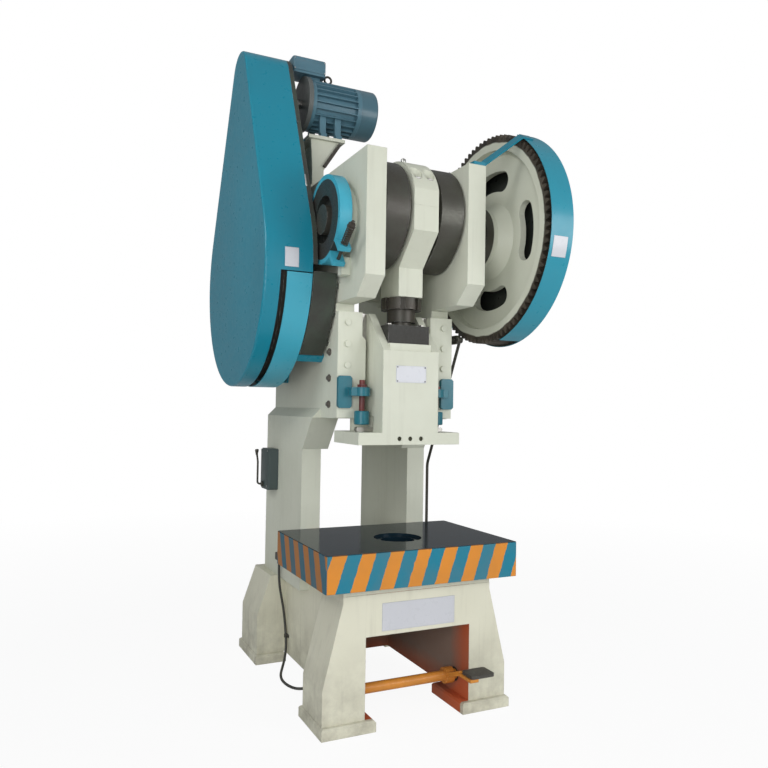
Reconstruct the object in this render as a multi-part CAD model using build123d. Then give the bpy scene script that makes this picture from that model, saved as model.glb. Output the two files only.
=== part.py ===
"""Open-back mechanical stamping press with one gear stage, an eccentric crank and a guided ram.

Millimetres. X runs to the press's right, Y to its back and Z up. The origin lies on the floor,
under the middle of the bolster, where the ram's axis meets the ground.
"""
import os
from math import acos, atan2, ceil, cos, pi, radians, sin, sqrt, tan

from build123d import *

os.makedirs("parts", exist_ok=True)

# General clearances
fit_gap = 0.3
running_gap = 0.05
thrust_gap = 1.0

# Base: a box of cast walls on four flared feet
base_width = 968
foot_height = 50
foot_outer_x = base_width / 2
foot_inner_x = 225
foot_margin = 26
rear_foot_inner_x = 310
leg_outer_x = foot_outer_x - 10
leg_inner_x = 270
wall_thickness = 40
leg_shell = 26
front_face_y = -277
front_leg_back_y = -30
leg_knee_z = 205
shoulder_x = leg_inner_x + wall_thickness + 72
shoulder_z = 572
portal_top_z = 412
deck_bottom_z = 600
deck_top_z = 636
deck_front_y = front_face_y + 2
rear_leg_front_y = 740
rear_leg_back_y = 1050
rear_wall_y = 600
rear_knee_z = 265
rear_top_x = leg_inner_x + wall_thickness + 90
column_foot_z = 480
rear_wall_thickness = 40
drop_hole_radius = 110
anchor_radius = 14
anchor_x = foot_outer_x - 50
anchor_front_y = -180
anchor_rear_y = 900

# Bolster
bolster_length = base_width + 17
bolster_depth = 698
bolster_thickness = 164
bolster_corner = 14
bolster_hole_radius = 82
bolster_recess_radius = 118
bolster_recess_depth = 12

# Side frames
column_inner_x = 257
column_outer_x = 362
column_front_y = 362
column_back_y = 985
throat_low_z = 1212
throat_corner_y = 222
jaw_bottom_z = 1380
jaw_front_y = 40
shoulder_height = 46
head_inner_x = 218
head_outer_x = 316
head_front_y = -306
head_bottom_z = 2033
head_under_z = 1942
head_chin_y = -205
head_top_z = 2615
head_back_top_y = 690
back_slope_z = 2330
web_front_y = 372
web_thickness = 36
web_bottom_z = 2015
web_top_z = 2560
boss_radius = 165
boss_outer_x = 350
backshaft_boss_radius = 105
backshaft_boss_length = 60
backshaft_bush_wall = 14
top_plate_thickness = 30

# Drive train
crank_axis_y = -40
crank_axis_z = 2320
gear_module = 12
gear_teeth = 88
pinion_teeth = 20
pressure_angle = 20
tooth_backlash = 0.9
tooth_root_depth = 15
backshaft_drop = 200
motor_axis_y = 550
motor_axis_z = 3105

# Crankshaft
crank_throw = 63
journal_radius = 85
main_bush_wall = 20
pin_radius = 120
pin_bush_wall = 14
cheek_radius = 250
cheek_root_radius = 205
cheek_inner_x = 84
cheek_outer_x = 206
brake_seat_radius = 70
thrust_collar_radius = 150
gear_seat_radius = 80
clutch_collar_radius = 165
clutch_collar_step = 140
clutch_key_radius = 15
end_cap_radius = 112
end_cap_thickness = 6
crank_left_x = -428

# Connecting rod and its adjusting screw
rod_half_width = 65
rod_radius = 262
rod_cap_face_y = -290
rod_shoulder_drop = 118
rod_neck_half_depth = 100
rod_neck_z = 2112
rod_foot_z = 1974
rod_bolt_radius = 17
rod_bolt_y = 200
rod_bolt_seat = 120
rod_bolt_grip = 100
rod_bolt_head_radius = 26
rod_bolt_head_height = 20
lock_ring_radius = 100
lock_ring_height = 58
lock_slot_count = 8
lock_slot_depth = 14
lock_slot_width = 22
screw_thread_radius = 45
screw_engagement = 110
screw_radius = 70
screw_low_z = 1856
screw_neck_radius = 52
ball_radius = 66
ball_axis_z = 1644

# Ram
ram_half_width = 150
ram_front_y = -160
ram_back_y = 140
ram_bottom_z = 1260
flange_half_width = 272
flange_height = 58
ram_front_top_z = 1710
ram_lip_top_z = 1745
ram_lip_thickness = 22
ram_cheek_top_z = 1900
ram_cheek_y = 20
ram_cheek_wall = 38
pocket_front_y = -108
pocket_back_y = 96
pocket_floor_z = 1562
rib_apex_x = 204
rib_front_y = 60
rib_back_y = 130
shank_radius = 30
rib_land = 14
slide_gap = 0.3
ball_pocket_half_width = 70
cap_front_y = -128
cap_back_y = 116
cap_bottom_z = ball_axis_z + 56
cap_top_z = cap_bottom_z + 136
cap_slot_gap = 2
cap_bolt_radius = 9
cap_bolt_x = 91
cap_bolt_y = 78
cap_bolt_grip = 50
clamp_screw_radius = 11
clamp_screw_pitch = 58
clamp_screw_depth = 40
clamp_screw_recess = 6

# Guide gibs
gib_outer_x = 318
gib_inner_x = 170
gib_step_x = 190
gib_step_z = 1765
gib_top_z = 1900
gib_bottom_z = 1384
gib_back_y = 168
keeper_thickness = 40
gib_bolt_radius = 10
keeper_bolt_count = 3
adjuster_radius = 9
adjuster_count = 4
adjuster_reach = 17
adjuster_y = 104

# Knock-out
bar_half_length = 236
bar_width = 30
bar_height = 22
bar_travel = 12
bar_slot_height = 74
stop_x = 204
stop_screw_radius = 14
stop_screw_top_z = 1568
stop_head_radius = 37
stop_head_height = 66
stop_plate_inner_x = 248
stop_plate_outer_x = 320
stop_plate_thickness = 20
stop_plate_low_z = 1431
stop_plate_high_z = 1587
stop_arm_low_z = 1490
stop_arm_high_z = 1532
stop_boss_radius = 40

# Flywheel and back shaft
flywheel_radius = 546
flywheel_rim_right_x = -458
flywheel_rim_width = 125
flywheel_rim_depth = 96
flywheel_web_width = 40
flywheel_hub_radius = 110
flywheel_hub_length = 250
sheave_radius = flywheel_radius - 5
sheave_gap = 8
sheave_rim_depth = 60
shaft_nut_radius = 70
shaft_nut_width = 34
backshaft_radius = 45
backshaft_left_x = -655
backshaft_stub = 1
belt_count = 4
belt_pitch = 20
belt_width = 17
belt_depth = 11
belt_flank_angle = 19
belt_floor_gap = 3
sheave_width = 88
motor_pulley_radius = 95
motor_shaft_radius = 24

# Gear
gear_left_x = 485
gear_face = 120
gear_rim_depth = 50
gear_web_half = 17
gear_hub_radius = 150
gear_hub_left_x = 436
gear_hub_right_x = 602
gear_bush_wall = 14
gear_cone_radius = 200
gear_cone_left_x = 470
kidney_mid_radius = 312
kidney_half_width = 52
kidney_half_angle = 18
kidney_count = 4
pinion_overhang = 3
pinion_hub_radius = 78

# Guards
guard_gap = 34
guard_outer_x = -690
guard_inner_x = -455
guard_slot_outer_x = -612
guard_slot_inner_x = -580
guard_slot_top_z = 2072
guard_rim_width = 23
guard_rim_lip = 40
guard_sheet = 5
guard_top_radius = 130
guard_top_z = 3186
guard_seam = 5
shield_right_x = -330
shield_gap = 4
shield_start_angle = 4
shield_end_angle = 47
shield_tab_angles = (10, 24, 40)
bracket_angles = (230, 290)
bracket_width = 46
bracket_thickness = 8
pinion_cover_radius = 165
gear_band_start = 120
gear_band_end = 255
gear_strap_angle = 126
gear_guard_gap = 7
gear_guard_left_x = 490
gear_guard_right_x = 616
gear_guard_sheet = 5

# Motor
motor_radius = 117
motor_fin_height = 20
motor_left_x = -318
motor_right_x = -28
cowl_right_x = 72
cowl_sheet = 4
motor_fin_count = 24
motor_fin_thickness = 6
motor_flange_radius = 148
motor_flange_width = 24
motor_foot_z = 2905
motor_foot_width = 36
motor_foot_reach = 115
guard_bar_z = motor_foot_z - 10
fan_radius = 95
fan_blade_count = 8
terminal_left_x = -410
terminal_right_x = -220
terminal_half_depth = 62
terminal_low_z = 3255
terminal_high_z = 3343
eye_x = -185
eye_radius = 20
bracket_left_x = -332
bracket_right_x = -122
bracket_half_depth = 118
bracket_plate = 18
gusset_foot_left_x = -304
gusset_foot_right_x = -238

# Brake
brake_drum_inner_x = -360
brake_drum_outer_x = -420
brake_radius = 188
band_thickness = 22
brake_recess_radius = 113
brake_recess_depth = 36
brake_gap_angle = 231
brake_gap_half_angle = 9
brake_ear_reach = 52
brake_bolt_radius = 9
brake_bolt_length = 250

# Treadle
treadle_y = -150
treadle_z = 136
treadle_bar_radius = 24
treadle_bush_wall = 10
pull_rod_radius = 8
pull_rod_x = leg_inner_x + wall_thickness + 78
rod_offset = 18
pull_rod_y = 400
pull_rod_bend_z = 1120
pull_rod_top_x = 368
pull_rod_top_y = 0
pull_rod_top_z = 1794
treadle_slot = 6
clutch_slot = 14
treadle_arm_x = 228
treadle_arm_width = 44
pad_inner_x = 214
pad_outer_x = 340
pad_front_y = -395
pad_back_y = -300
pad_z = 208
pad_thickness = 14
lever_thickness = 16
lever_height = 44
clutch_pivot_y = 160
clutch_tip_y = 100
clutch_tip_z = 2180
clutch_lever_x = 336
pin_radius_small = 8
rod_guide_z = 470
box_front_y = 760
box_back_y = 905
box_low_z = 956
box_high_z = 1190
box_depth = 58
handle_length = 190
handle_radius = 9
handle_knob_radius = 18

# Conduit down the left side, from the column to the hollow of the front leg
conduit_radius = 7
conduit_arc_share = 0.45
conduit_box_depth = 38
conduit_box_height = 40
conduit_nozzle_radius = 10
conduit_nozzle_length = 10
conduit_route = [
    (-381, 652, 575),
    (-381, 652, 505),
    (-371, 668, 437),
    (-352, 690, 370),
    (-335, 701, 300),
    (-325, 700, 226),
    (-322, 688, 152),
    (-327, 664, 87),
    (-347, 628, 39),
    (-377, 576, 13),
    (-406, 511, 8),
    (-424, 440, 8),
    (-424, 368, 8),
    (-410, 300, 11),
    (-397, 232, 27),
    (-390, 164, 55),
    (-384, 94, 84),
    (-367, 24, 103),
    (-345, -41, 110),
    (-340, -106, 110),
    (-340, -156, 110),
]

crank_pin_z = crank_axis_z + crank_throw
gear_pitch_radius = gear_module * gear_teeth / 2
pinion_pitch_radius = gear_module * pinion_teeth / 2
gear_centre_distance = gear_pitch_radius + pinion_pitch_radius
backshaft_y = crank_axis_y + sqrt(gear_centre_distance ** 2 - backshaft_drop ** 2)
backshaft_z = crank_axis_z - backshaft_drop
bolster_bottom_z = deck_top_z
bolster_top_z = bolster_bottom_z + bolster_thickness
sheave_left_x = flywheel_rim_right_x - flywheel_rim_width - sheave_gap - sheave_width
crank_right_x = gear_hub_right_x + thrust_gap


def save(name, shape):
    """Write one sub-part to its own file."""
    export_step(shape, f"parts/{name}.step")


def group(pieces):
    """Several separate solids as one sub-part."""
    return Compound([solid for piece in pieces for solid in piece.solids()])


def block(x0, x1, y0, y1, z0, z1):
    """A block between two opposite corners."""
    centre = Pos((x0 + x1) / 2, (y0 + y1) / 2, (z0 + z1) / 2)
    return centre * Box(abs(x1 - x0), abs(y1 - y0), abs(z1 - z0))


def bar_x(radius, x0, x1, y, z):
    """A round bar along X."""
    return Pos((x0 + x1) / 2, y, z) * Rot(0, 90, 0) * Cylinder(radius, abs(x1 - x0))


def bar_y(radius, x, y0, y1, z):
    """A round bar along Y."""
    return Pos(x, (y0 + y1) / 2, z) * Rot(90, 0, 0) * Cylinder(radius, abs(y1 - y0))


def bar_z(radius, x, y, z0, z1):
    """A round bar along Z."""
    return Pos(x, y, (z0 + z1) / 2) * Cylinder(radius, abs(z1 - z0))


def plate_yz(points, x0, x1):
    """An outline in Y and Z, thick from x0 to x1."""
    return extrude(Plane.YZ.offset(x0) * Polygon(*points), amount=x1 - x0, dir=(1, 0, 0))


def plate_xz(points, y0, y1):
    """An outline in X and Z, thick from y0 to y1."""
    return extrude(Plane.XZ.offset(-y0) * Polygon(*points), amount=y1 - y0, dir=(0, 1, 0))


def plate_xy(points, z0, z1):
    """An outline in X and Y, thick from z0 to z1."""
    return extrude(Plane.XY.offset(z0) * Polygon(*points), amount=z1 - z0, dir=(0, 0, 1))


def turned_x(profile, y, z):
    """A body turned about an axis along X, from its points of (x, radius)."""
    return Pos(0, y, z) * revolve(Plane.XZ * Polygon(*profile), Axis.X)


def mirrored(shape):
    """The same shape on the other side of the press."""
    return mirror(shape, about=Plane.YZ)


def both_sides(points):
    """A half outline of (x, z), closed by its own mirror image."""
    return points + [(-x, z) for x, z in reversed(points)]


def hex_z(radius, x, y, z0, z1):
    """A hexagon bar along Z."""
    return Pos(x, y, z0) * extrude(RegularPolygon(radius, 6), amount=z1 - z0)


def hex_x(radius, x0, x1, y, z):
    """A hexagon bar along X."""
    return Pos(x0, y, z) * Rot(0, 90, 0) * extrude(RegularPolygon(radius, 6), amount=x1 - x0)


def hull_face(x, y1, z1, r1, y2, z2, r2):
    """The face, at x, inside two circles and the two tangents that join their outsides."""
    distance = sqrt((y2 - y1) ** 2 + (z2 - z1) ** 2)
    heading = atan2(z2 - z1, y2 - y1)
    lean = acos((r1 - r2) / distance)

    def at(y, z, r, angle):
        return (y + r * cos(angle), z + r * sin(angle))

    first = at(y1, z1, r1, heading + lean)
    second = at(y2, z2, r2, heading + lean)
    third = at(y2, z2, r2, heading - lean)
    fourth = at(y1, z1, r1, heading - lean)
    edges = [
        Line(first, second),
        ThreePointArc(second, at(y2, z2, r2, heading), third),
        Line(third, fourth),
        ThreePointArc(fourth, at(y1, z1, r1, heading + pi), first),
    ]
    return Plane.YZ.offset(x) * make_face(Wire(edges))


def base_leg_pockets(outline_x, knee_z, top_z, y0, y1):
    """The two hollows inside a pair of flared legs."""
    inner_x = leg_inner_x + wall_thickness
    points = [
        (inner_x, 0),
        (leg_outer_x - leg_shell, 0),
        (leg_outer_x - leg_shell, knee_z - leg_shell / 2),
        (outline_x - leg_shell, top_z - leg_shell),
        (inner_x, top_z - leg_shell),
    ]
    pocket = plate_xz(points, y0, y1)
    return pocket + mirrored(pocket)


def make_base():
    """The cast base: front portal, side walls, rear wall, flared legs, deck and feet."""
    portal = both_sides([
        (leg_outer_x, foot_height),
        (leg_outer_x, leg_knee_z),
        (shoulder_x, shoulder_z),
        (shoulder_x, deck_bottom_z),
    ])
    front = plate_xz(portal, front_face_y, front_leg_back_y)
    front -= block(-leg_inner_x, leg_inner_x, front_face_y, front_leg_back_y, 0, portal_top_z)
    front -= block(-leg_inner_x, leg_inner_x, front_face_y + wall_thickness, front_leg_back_y,
                   0, deck_bottom_z)
    front -= base_leg_pockets(shoulder_x, leg_knee_z, deck_bottom_z,
                              front_face_y + leg_shell, front_leg_back_y)
    rear_leg = plate_xz([
        (leg_inner_x, foot_height),
        (leg_outer_x, foot_height),
        (leg_outer_x, rear_knee_z),
        (rear_top_x, column_foot_z),
        (leg_inner_x, column_foot_z),
    ], rear_leg_front_y, rear_leg_back_y)
    rear = rear_leg + mirrored(rear_leg)
    rear -= base_leg_pockets(rear_top_x, rear_knee_z, column_foot_z,
                             rear_leg_front_y + leg_shell, rear_leg_back_y - leg_shell)
    wall_x = leg_inner_x + wall_thickness
    wall = block(leg_inner_x, wall_x, front_face_y, column_front_y, foot_height, deck_bottom_z)
    wall += block(leg_inner_x, wall_x, column_front_y, rear_leg_back_y, foot_height, column_foot_z)
    rear_wall = block(-leg_inner_x, leg_inner_x, rear_wall_y, rear_wall_y + rear_wall_thickness,
                      foot_height, column_foot_z)
    deck = block(-shoulder_x, shoulder_x, deck_front_y, column_front_y, deck_bottom_z, deck_top_z)
    deck -= bar_z(drop_hole_radius, 0, crank_axis_y, deck_bottom_z, deck_top_z)
    front_foot = block(foot_inner_x, foot_outer_x, front_face_y - foot_margin,
                       front_leg_back_y + foot_margin, 0, foot_height)
    rear_foot = block(rear_foot_inner_x, foot_outer_x, rear_leg_front_y - foot_margin,
                      rear_leg_back_y + foot_margin, 0, foot_height)
    feet = chamfer(front_foot.edges().group_by(Axis.Z)[-1], foot_height / 6)
    feet += chamfer(rear_foot.edges().group_by(Axis.Z)[-1], foot_height / 6)
    treadle_bore = bar_x(treadle_bar_radius + treadle_bush_wall, leg_inner_x, wall_x,
                         treadle_y, treadle_z)
    for y in (anchor_front_y, anchor_rear_y):
        feet -= bar_z(anchor_radius, anchor_x, y, 0, foot_height)
    body = front + rear + wall + mirrored(wall) + rear_wall + deck + feet + mirrored(feet)
    return body - treadle_bore


def make_bolster():
    """The thick bolster with a stepped hole for slugs."""
    body = block(-bolster_length / 2, bolster_length / 2, -bolster_depth / 2, bolster_depth / 2,
                 bolster_bottom_z, bolster_top_z)
    body = fillet(body.edges().filter_by(Axis.Z), bolster_corner)
    body = chamfer(body.edges().group_by(Axis.Z)[-1], 3)
    body -= bar_z(bolster_hole_radius, 0, crank_axis_y, bolster_bottom_z, bolster_top_z)
    body -= bar_z(bolster_recess_radius, 0, crank_axis_y,
                  bolster_top_z - bolster_recess_depth, bolster_top_z)
    return body


def make_side_frame():
    """The right side frame: column, throat, jaw and crank head in one piece."""
    column_top_z = jaw_bottom_z + shoulder_height
    column = plate_yz([
        (column_front_y, column_foot_z),
        (column_back_y, column_foot_z),
        (column_back_y, column_top_z),
        (throat_corner_y, column_top_z),
        (throat_corner_y, jaw_bottom_z),
        (column_front_y, throat_low_z),
    ], column_inner_x, column_outer_x)
    outer_top = column.edges().filter_by(Axis.Y).group_by(Axis.Z)[-1].sort_by(Axis.X)[-1]
    column = chamfer(outer_top, column_outer_x - head_outer_x - 0.5)
    head = plate_yz([
        (jaw_front_y, jaw_bottom_z),
        (throat_corner_y, jaw_bottom_z),
        (column_front_y, throat_low_z),
        (column_back_y, throat_low_z),
        (column_back_y, back_slope_z),
        (head_back_top_y, head_top_z),
        (head_front_y, head_top_z),
        (head_front_y, head_bottom_z),
        (head_chin_y, head_under_z),
        (jaw_front_y, head_under_z),
    ], head_inner_x, head_outer_x)
    frame = column + head
    frame += bar_x(boss_radius, head_outer_x, boss_outer_x, crank_axis_y, crank_axis_z)
    frame += bar_x(backshaft_boss_radius, head_inner_x - backshaft_boss_length,
                   head_outer_x + backshaft_boss_length / 2, backshaft_y, backshaft_z)
    frame -= bar_x(journal_radius + main_bush_wall, head_inner_x - 1, boss_outer_x + 1,
                   crank_axis_y, crank_axis_z)
    frame -= bar_x(backshaft_radius + backshaft_bush_wall, head_inner_x - 2 * backshaft_boss_length,
                   head_outer_x + backshaft_boss_length, backshaft_y, backshaft_z)
    for shank in adjuster_shanks():
        frame -= shank
    return frame


def make_ties():
    """The plates that join the two side frames."""
    rear_web = block(-head_inner_x, head_inner_x, web_front_y, web_front_y + web_thickness,
                     web_bottom_z, web_top_z)
    top_plate = block(-head_inner_x, head_inner_x, web_front_y + web_thickness, head_back_top_y,
                      head_top_z - top_plate_thickness, head_top_z)
    column_tie = block(-column_inner_x, column_inner_x, rear_wall_y,
                       rear_wall_y + rear_wall_thickness, column_foot_z, deck_top_z)
    return rear_web, top_plate, column_tie


def make_main_bush():
    """The bronze bush of the right crank journal."""
    outer = bar_x(journal_radius + main_bush_wall, head_inner_x, boss_outer_x,
                  crank_axis_y, crank_axis_z)
    return outer - bar_x(journal_radius + running_gap, head_inner_x, boss_outer_x,
                         crank_axis_y, crank_axis_z)


def make_backshaft_bush():
    """The bronze bush of the back shaft's right bearing."""
    x0 = head_inner_x - backshaft_boss_length
    x1 = head_outer_x + backshaft_boss_length / 2
    outer = bar_x(backshaft_radius + backshaft_bush_wall, x0, x1, backshaft_y, backshaft_z)
    return outer - bar_x(backshaft_radius + running_gap, x0, x1, backshaft_y, backshaft_z)


def make_crankshaft():
    """The forged crankshaft: journals, two cheeks, thrust collars and the pin between them."""
    left = bar_x(journal_radius, -boss_outer_x, -cheek_inner_x, crank_axis_y, crank_axis_z)
    left += bar_x(brake_seat_radius, crank_left_x, -boss_outer_x, crank_axis_y, crank_axis_z)
    right = bar_x(journal_radius, cheek_inner_x, gear_hub_left_x, crank_axis_y, crank_axis_z)
    right += bar_x(gear_seat_radius, gear_hub_left_x, crank_right_x, crank_axis_y, crank_axis_z)
    cheek = extrude(hull_face(cheek_inner_x, crank_axis_y, crank_pin_z, cheek_radius,
                              crank_axis_y, crank_axis_z, cheek_root_radius),
                    amount=cheek_outer_x - cheek_inner_x, dir=(1, 0, 0))
    cheek += bar_x(thrust_collar_radius, rod_half_width + thrust_gap, cheek_inner_x,
                   crank_axis_y, crank_pin_z)
    pin = bar_x(pin_radius, -cheek_inner_x, cheek_inner_x, crank_axis_y, crank_pin_z)
    return left + right + cheek + mirrored(cheek) + pin


def make_clutch_collar():
    """The stepped clutch collar on the right journal, bored for a rolling key."""
    collar = turned_x([
        (boss_outer_x + thrust_gap, journal_radius),
        (boss_outer_x + thrust_gap, clutch_collar_step),
        ((boss_outer_x + gear_hub_left_x) / 2, clutch_collar_step),
        ((boss_outer_x + gear_hub_left_x) / 2, clutch_collar_radius),
        (gear_hub_left_x - thrust_gap, clutch_collar_radius),
        (gear_hub_left_x - thrust_gap, journal_radius),
    ], crank_axis_y, crank_axis_z)
    key_y = crank_axis_y - (journal_radius + clutch_collar_step) / 2
    return collar - bar_x(clutch_key_radius, boss_outer_x, gear_hub_left_x, key_y, crank_axis_z)


def make_crank_end_cap():
    """The disc that keeps the gear on the crankshaft's right end."""
    return bar_x(end_cap_radius, crank_right_x, crank_right_x + end_cap_thickness,
                 crank_axis_y, crank_axis_z)


def rod_outline():
    """The connecting rod's side outline, as a face in the middle plane of the press."""
    drop = rod_cap_face_y - crank_axis_y
    half_flat = sqrt(rod_radius ** 2 - drop ** 2)
    neck_front = crank_axis_y - rod_neck_half_depth
    neck_back = crank_axis_y + rod_neck_half_depth
    low_z = crank_pin_z - rod_shoulder_drop
    back = 2 * crank_axis_y - rod_cap_face_y
    edges = [
        Line((rod_cap_face_y, low_z), (rod_cap_face_y, crank_pin_z + half_flat)),
        ThreePointArc((rod_cap_face_y, crank_pin_z + half_flat),
                      (crank_axis_y, crank_pin_z + rod_radius), (back, crank_pin_z + half_flat)),
        Line((back, crank_pin_z + half_flat), (back, low_z)),
        Line((back, low_z), (neck_back, rod_neck_z)),
        Line((neck_back, rod_neck_z), (neck_back, rod_foot_z)),
        Line((neck_back, rod_foot_z), (neck_front, rod_foot_z)),
        Line((neck_front, rod_foot_z), (neck_front, rod_neck_z)),
        Line((neck_front, rod_neck_z), (rod_cap_face_y, low_z)),
    ]
    return Plane.YZ.offset(-rod_half_width) * make_face(Wire(edges))


def make_connecting_rod():
    """The rod's lower half, its cap above the pin, and the four bolts that hold the cap."""
    whole = extrude(rod_outline(), amount=2 * rod_half_width, dir=(1, 0, 0))
    whole -= bar_x(pin_radius + pin_bush_wall, -rod_half_width, rod_half_width,
                   crank_axis_y, crank_pin_z)
    above = block(-rod_half_width, rod_half_width, crank_axis_y - 2 * rod_radius,
                  crank_axis_y + 2 * rod_radius, crank_pin_z, crank_pin_z + 2 * rod_radius)
    cap = whole & above
    rod = whole - above
    rod -= bar_z(screw_thread_radius, 0, crank_axis_y, rod_foot_z, rod_foot_z + screw_engagement)
    seat_z = crank_pin_z + rod_bolt_seat
    bolts = []
    for x in (-rod_half_width / 2, rod_half_width / 2):
        for side in (-1, 1):
            y = crank_axis_y + side * rod_bolt_y
            cap -= bar_z(rod_bolt_radius, x, y, crank_pin_z, seat_z)
            cap -= bar_z(rod_bolt_head_radius + 2, x, y, seat_z, crank_pin_z + rod_radius)
            rod -= bar_z(rod_bolt_radius, x, y, crank_pin_z - rod_bolt_grip, crank_pin_z)
            bolt = bar_z(rod_bolt_radius, x, y, crank_pin_z - rod_bolt_grip, seat_z)
            bolts.append(bolt + hex_z(rod_bolt_head_radius, x, y, seat_z,
                                      seat_z + rod_bolt_head_height))
    return rod, cap, group(bolts)


def make_pin_bush():
    """The bronze bush round the crank pin."""
    outer = bar_x(pin_radius + pin_bush_wall, -rod_half_width, rod_half_width,
                  crank_axis_y, crank_pin_z)
    return outer - bar_x(pin_radius + running_gap, -rod_half_width, rod_half_width,
                         crank_axis_y, crank_pin_z)


def make_adjusting_screw():
    """The ball-ended screw that sets the shut height."""
    neck_gap = sqrt(ball_radius ** 2 - screw_neck_radius ** 2)
    screw = bar_z(screw_radius, 0, crank_axis_y, screw_low_z, rod_foot_z)
    screw += bar_z(screw_thread_radius, 0, crank_axis_y, rod_foot_z, rod_foot_z + screw_engagement)
    screw += bar_z(screw_neck_radius, 0, crank_axis_y, ball_axis_z + neck_gap, screw_low_z)
    screw += Pos(0, crank_axis_y, ball_axis_z) * Sphere(ball_radius)
    return screw


def make_lock_ring():
    """The slotted ring that locks the screw under the rod's foot."""
    top_z = rod_foot_z
    ring = bar_z(lock_ring_radius, 0, crank_axis_y, top_z - lock_ring_height, top_z)
    ring -= bar_z(screw_radius, 0, crank_axis_y, top_z - lock_ring_height, top_z)
    slot = block(lock_ring_radius - lock_slot_depth, lock_ring_radius, -lock_slot_width / 2,
                 lock_slot_width / 2, top_z - lock_ring_height, top_z)
    for index in range(lock_slot_count):
        angle = 360 * (index + 0.5) / lock_slot_count
        ring -= Pos(0, crank_axis_y, 0) * Rot(0, 0, angle) * slot
    return ring


def make_ram():
    """The ram: flange, sloped cheeks, stepped pocket, guide ribs, shank bore and bar slot."""
    flange_top_z = ram_bottom_z + flange_height
    body = plate_yz([
        (ram_front_y, ram_bottom_z),
        (ram_back_y, ram_bottom_z),
        (ram_back_y, ram_cheek_top_z),
        (ram_cheek_y, ram_cheek_top_z),
        (ram_front_y, ram_front_top_z),
    ], -ram_half_width, ram_half_width)
    body += block(-flange_half_width, flange_half_width, ram_front_y, ram_back_y,
                  ram_bottom_z, flange_top_z)
    rib_middle = (rib_front_y + rib_back_y) / 2
    rib = plate_xy([
        (ram_half_width, rib_front_y),
        (rib_apex_x, rib_middle - rib_land / 2),
        (rib_apex_x, rib_middle + rib_land / 2),
        (ram_half_width, rib_back_y),
    ], flange_top_z, ram_cheek_top_z)
    body += rib
    body += mirrored(rib)
    inner_x = ram_half_width - ram_cheek_wall
    body -= block(-ball_pocket_half_width, ball_pocket_half_width, pocket_front_y, pocket_back_y,
                  pocket_floor_z, cap_bottom_z)
    body -= block(-inner_x, inner_x, cap_front_y, cap_back_y, cap_bottom_z, cap_top_z)
    body -= block(-inner_x, inner_x, ram_front_y, cap_front_y, ram_front_top_z, cap_top_z)
    body += block(-inner_x, inner_x, cap_front_y - ram_lip_thickness, cap_front_y,
                  ram_front_top_z, ram_lip_top_z)
    body -= block(-inner_x, inner_x, ram_front_y, ram_back_y, cap_top_z, ram_cheek_top_z)
    for x, y in ball_cap_bolt_places():
        body -= bar_z(cap_bolt_radius, x, y, cap_bottom_z - cap_bolt_grip, cap_bottom_z)
    body -= bar_z(shank_radius, 0, crank_axis_y, ram_bottom_z, flange_top_z)
    slot_half_width = bar_width / 2 + slide_gap
    body -= block(-ram_half_width, ram_half_width, crank_axis_y - slot_half_width,
                  crank_axis_y + slot_half_width, flange_top_z, flange_top_z + bar_slot_height)
    for x in clamp_screw_places():
        body -= bar_y(clamp_screw_radius, x, ram_front_y, ram_front_y + clamp_screw_depth,
                      ram_bottom_z + flange_height / 2)
    return body


def ball_cap_bolt_places():
    """Where the four bolts of the ball cap stand."""
    middle = (cap_front_y + cap_back_y) / 2
    return [(x, middle + y) for x in (-cap_bolt_x, cap_bolt_x) for y in (-cap_bolt_y, cap_bolt_y)]


def clamp_screw_places():
    """The places of the three shank clamp screws along the ram's front edge."""
    return [(index - 1) * clamp_screw_pitch for index in range(3)]


def make_ball_cap():
    """The cap that holds the ball down, slotted for the screw's neck, and its four bolts."""
    half_width = ram_half_width - ram_cheek_wall - fit_gap
    cap = block(-half_width, half_width, cap_front_y + fit_gap, cap_back_y - fit_gap,
                cap_bottom_z, cap_top_z)
    slot = screw_neck_radius + cap_slot_gap
    cap -= bar_z(slot, 0, crank_axis_y, cap_bottom_z, cap_top_z)
    cap -= block(-slot, slot, crank_axis_y, cap_back_y, cap_bottom_z, cap_top_z)
    bolts = []
    for x, y in ball_cap_bolt_places():
        cap -= bar_z(cap_bolt_radius, x, y, cap_bottom_z, cap_top_z)
        bolt = bar_z(cap_bolt_radius, x, y, cap_bottom_z - cap_bolt_grip, cap_top_z)
        bolts.append(bolt + hex_z(2 * cap_bolt_radius, x, y, cap_top_z, cap_top_z + cap_bolt_radius))
    return cap, group(bolts)


def make_clamp_screws():
    """The three screws that clamp a die's shank in the ram."""
    y = ram_front_y + clamp_screw_recess
    return group([bar_y(clamp_screw_radius, x, y, ram_front_y + clamp_screw_depth,
                        ram_bottom_z + flange_height / 2) for x in clamp_screw_places()])


def make_knockout_bar():
    """The bar through the ram that pushes a stuck blank out at the top of the stroke."""
    z = ram_bottom_z + flange_height + slide_gap
    bar = block(-bar_half_length, bar_half_length, crank_axis_y - bar_width / 2,
                crank_axis_y + bar_width / 2, z, z + bar_height)
    return chamfer(bar.edges().filter_by(Axis.Y), bar_height / 4)


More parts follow.
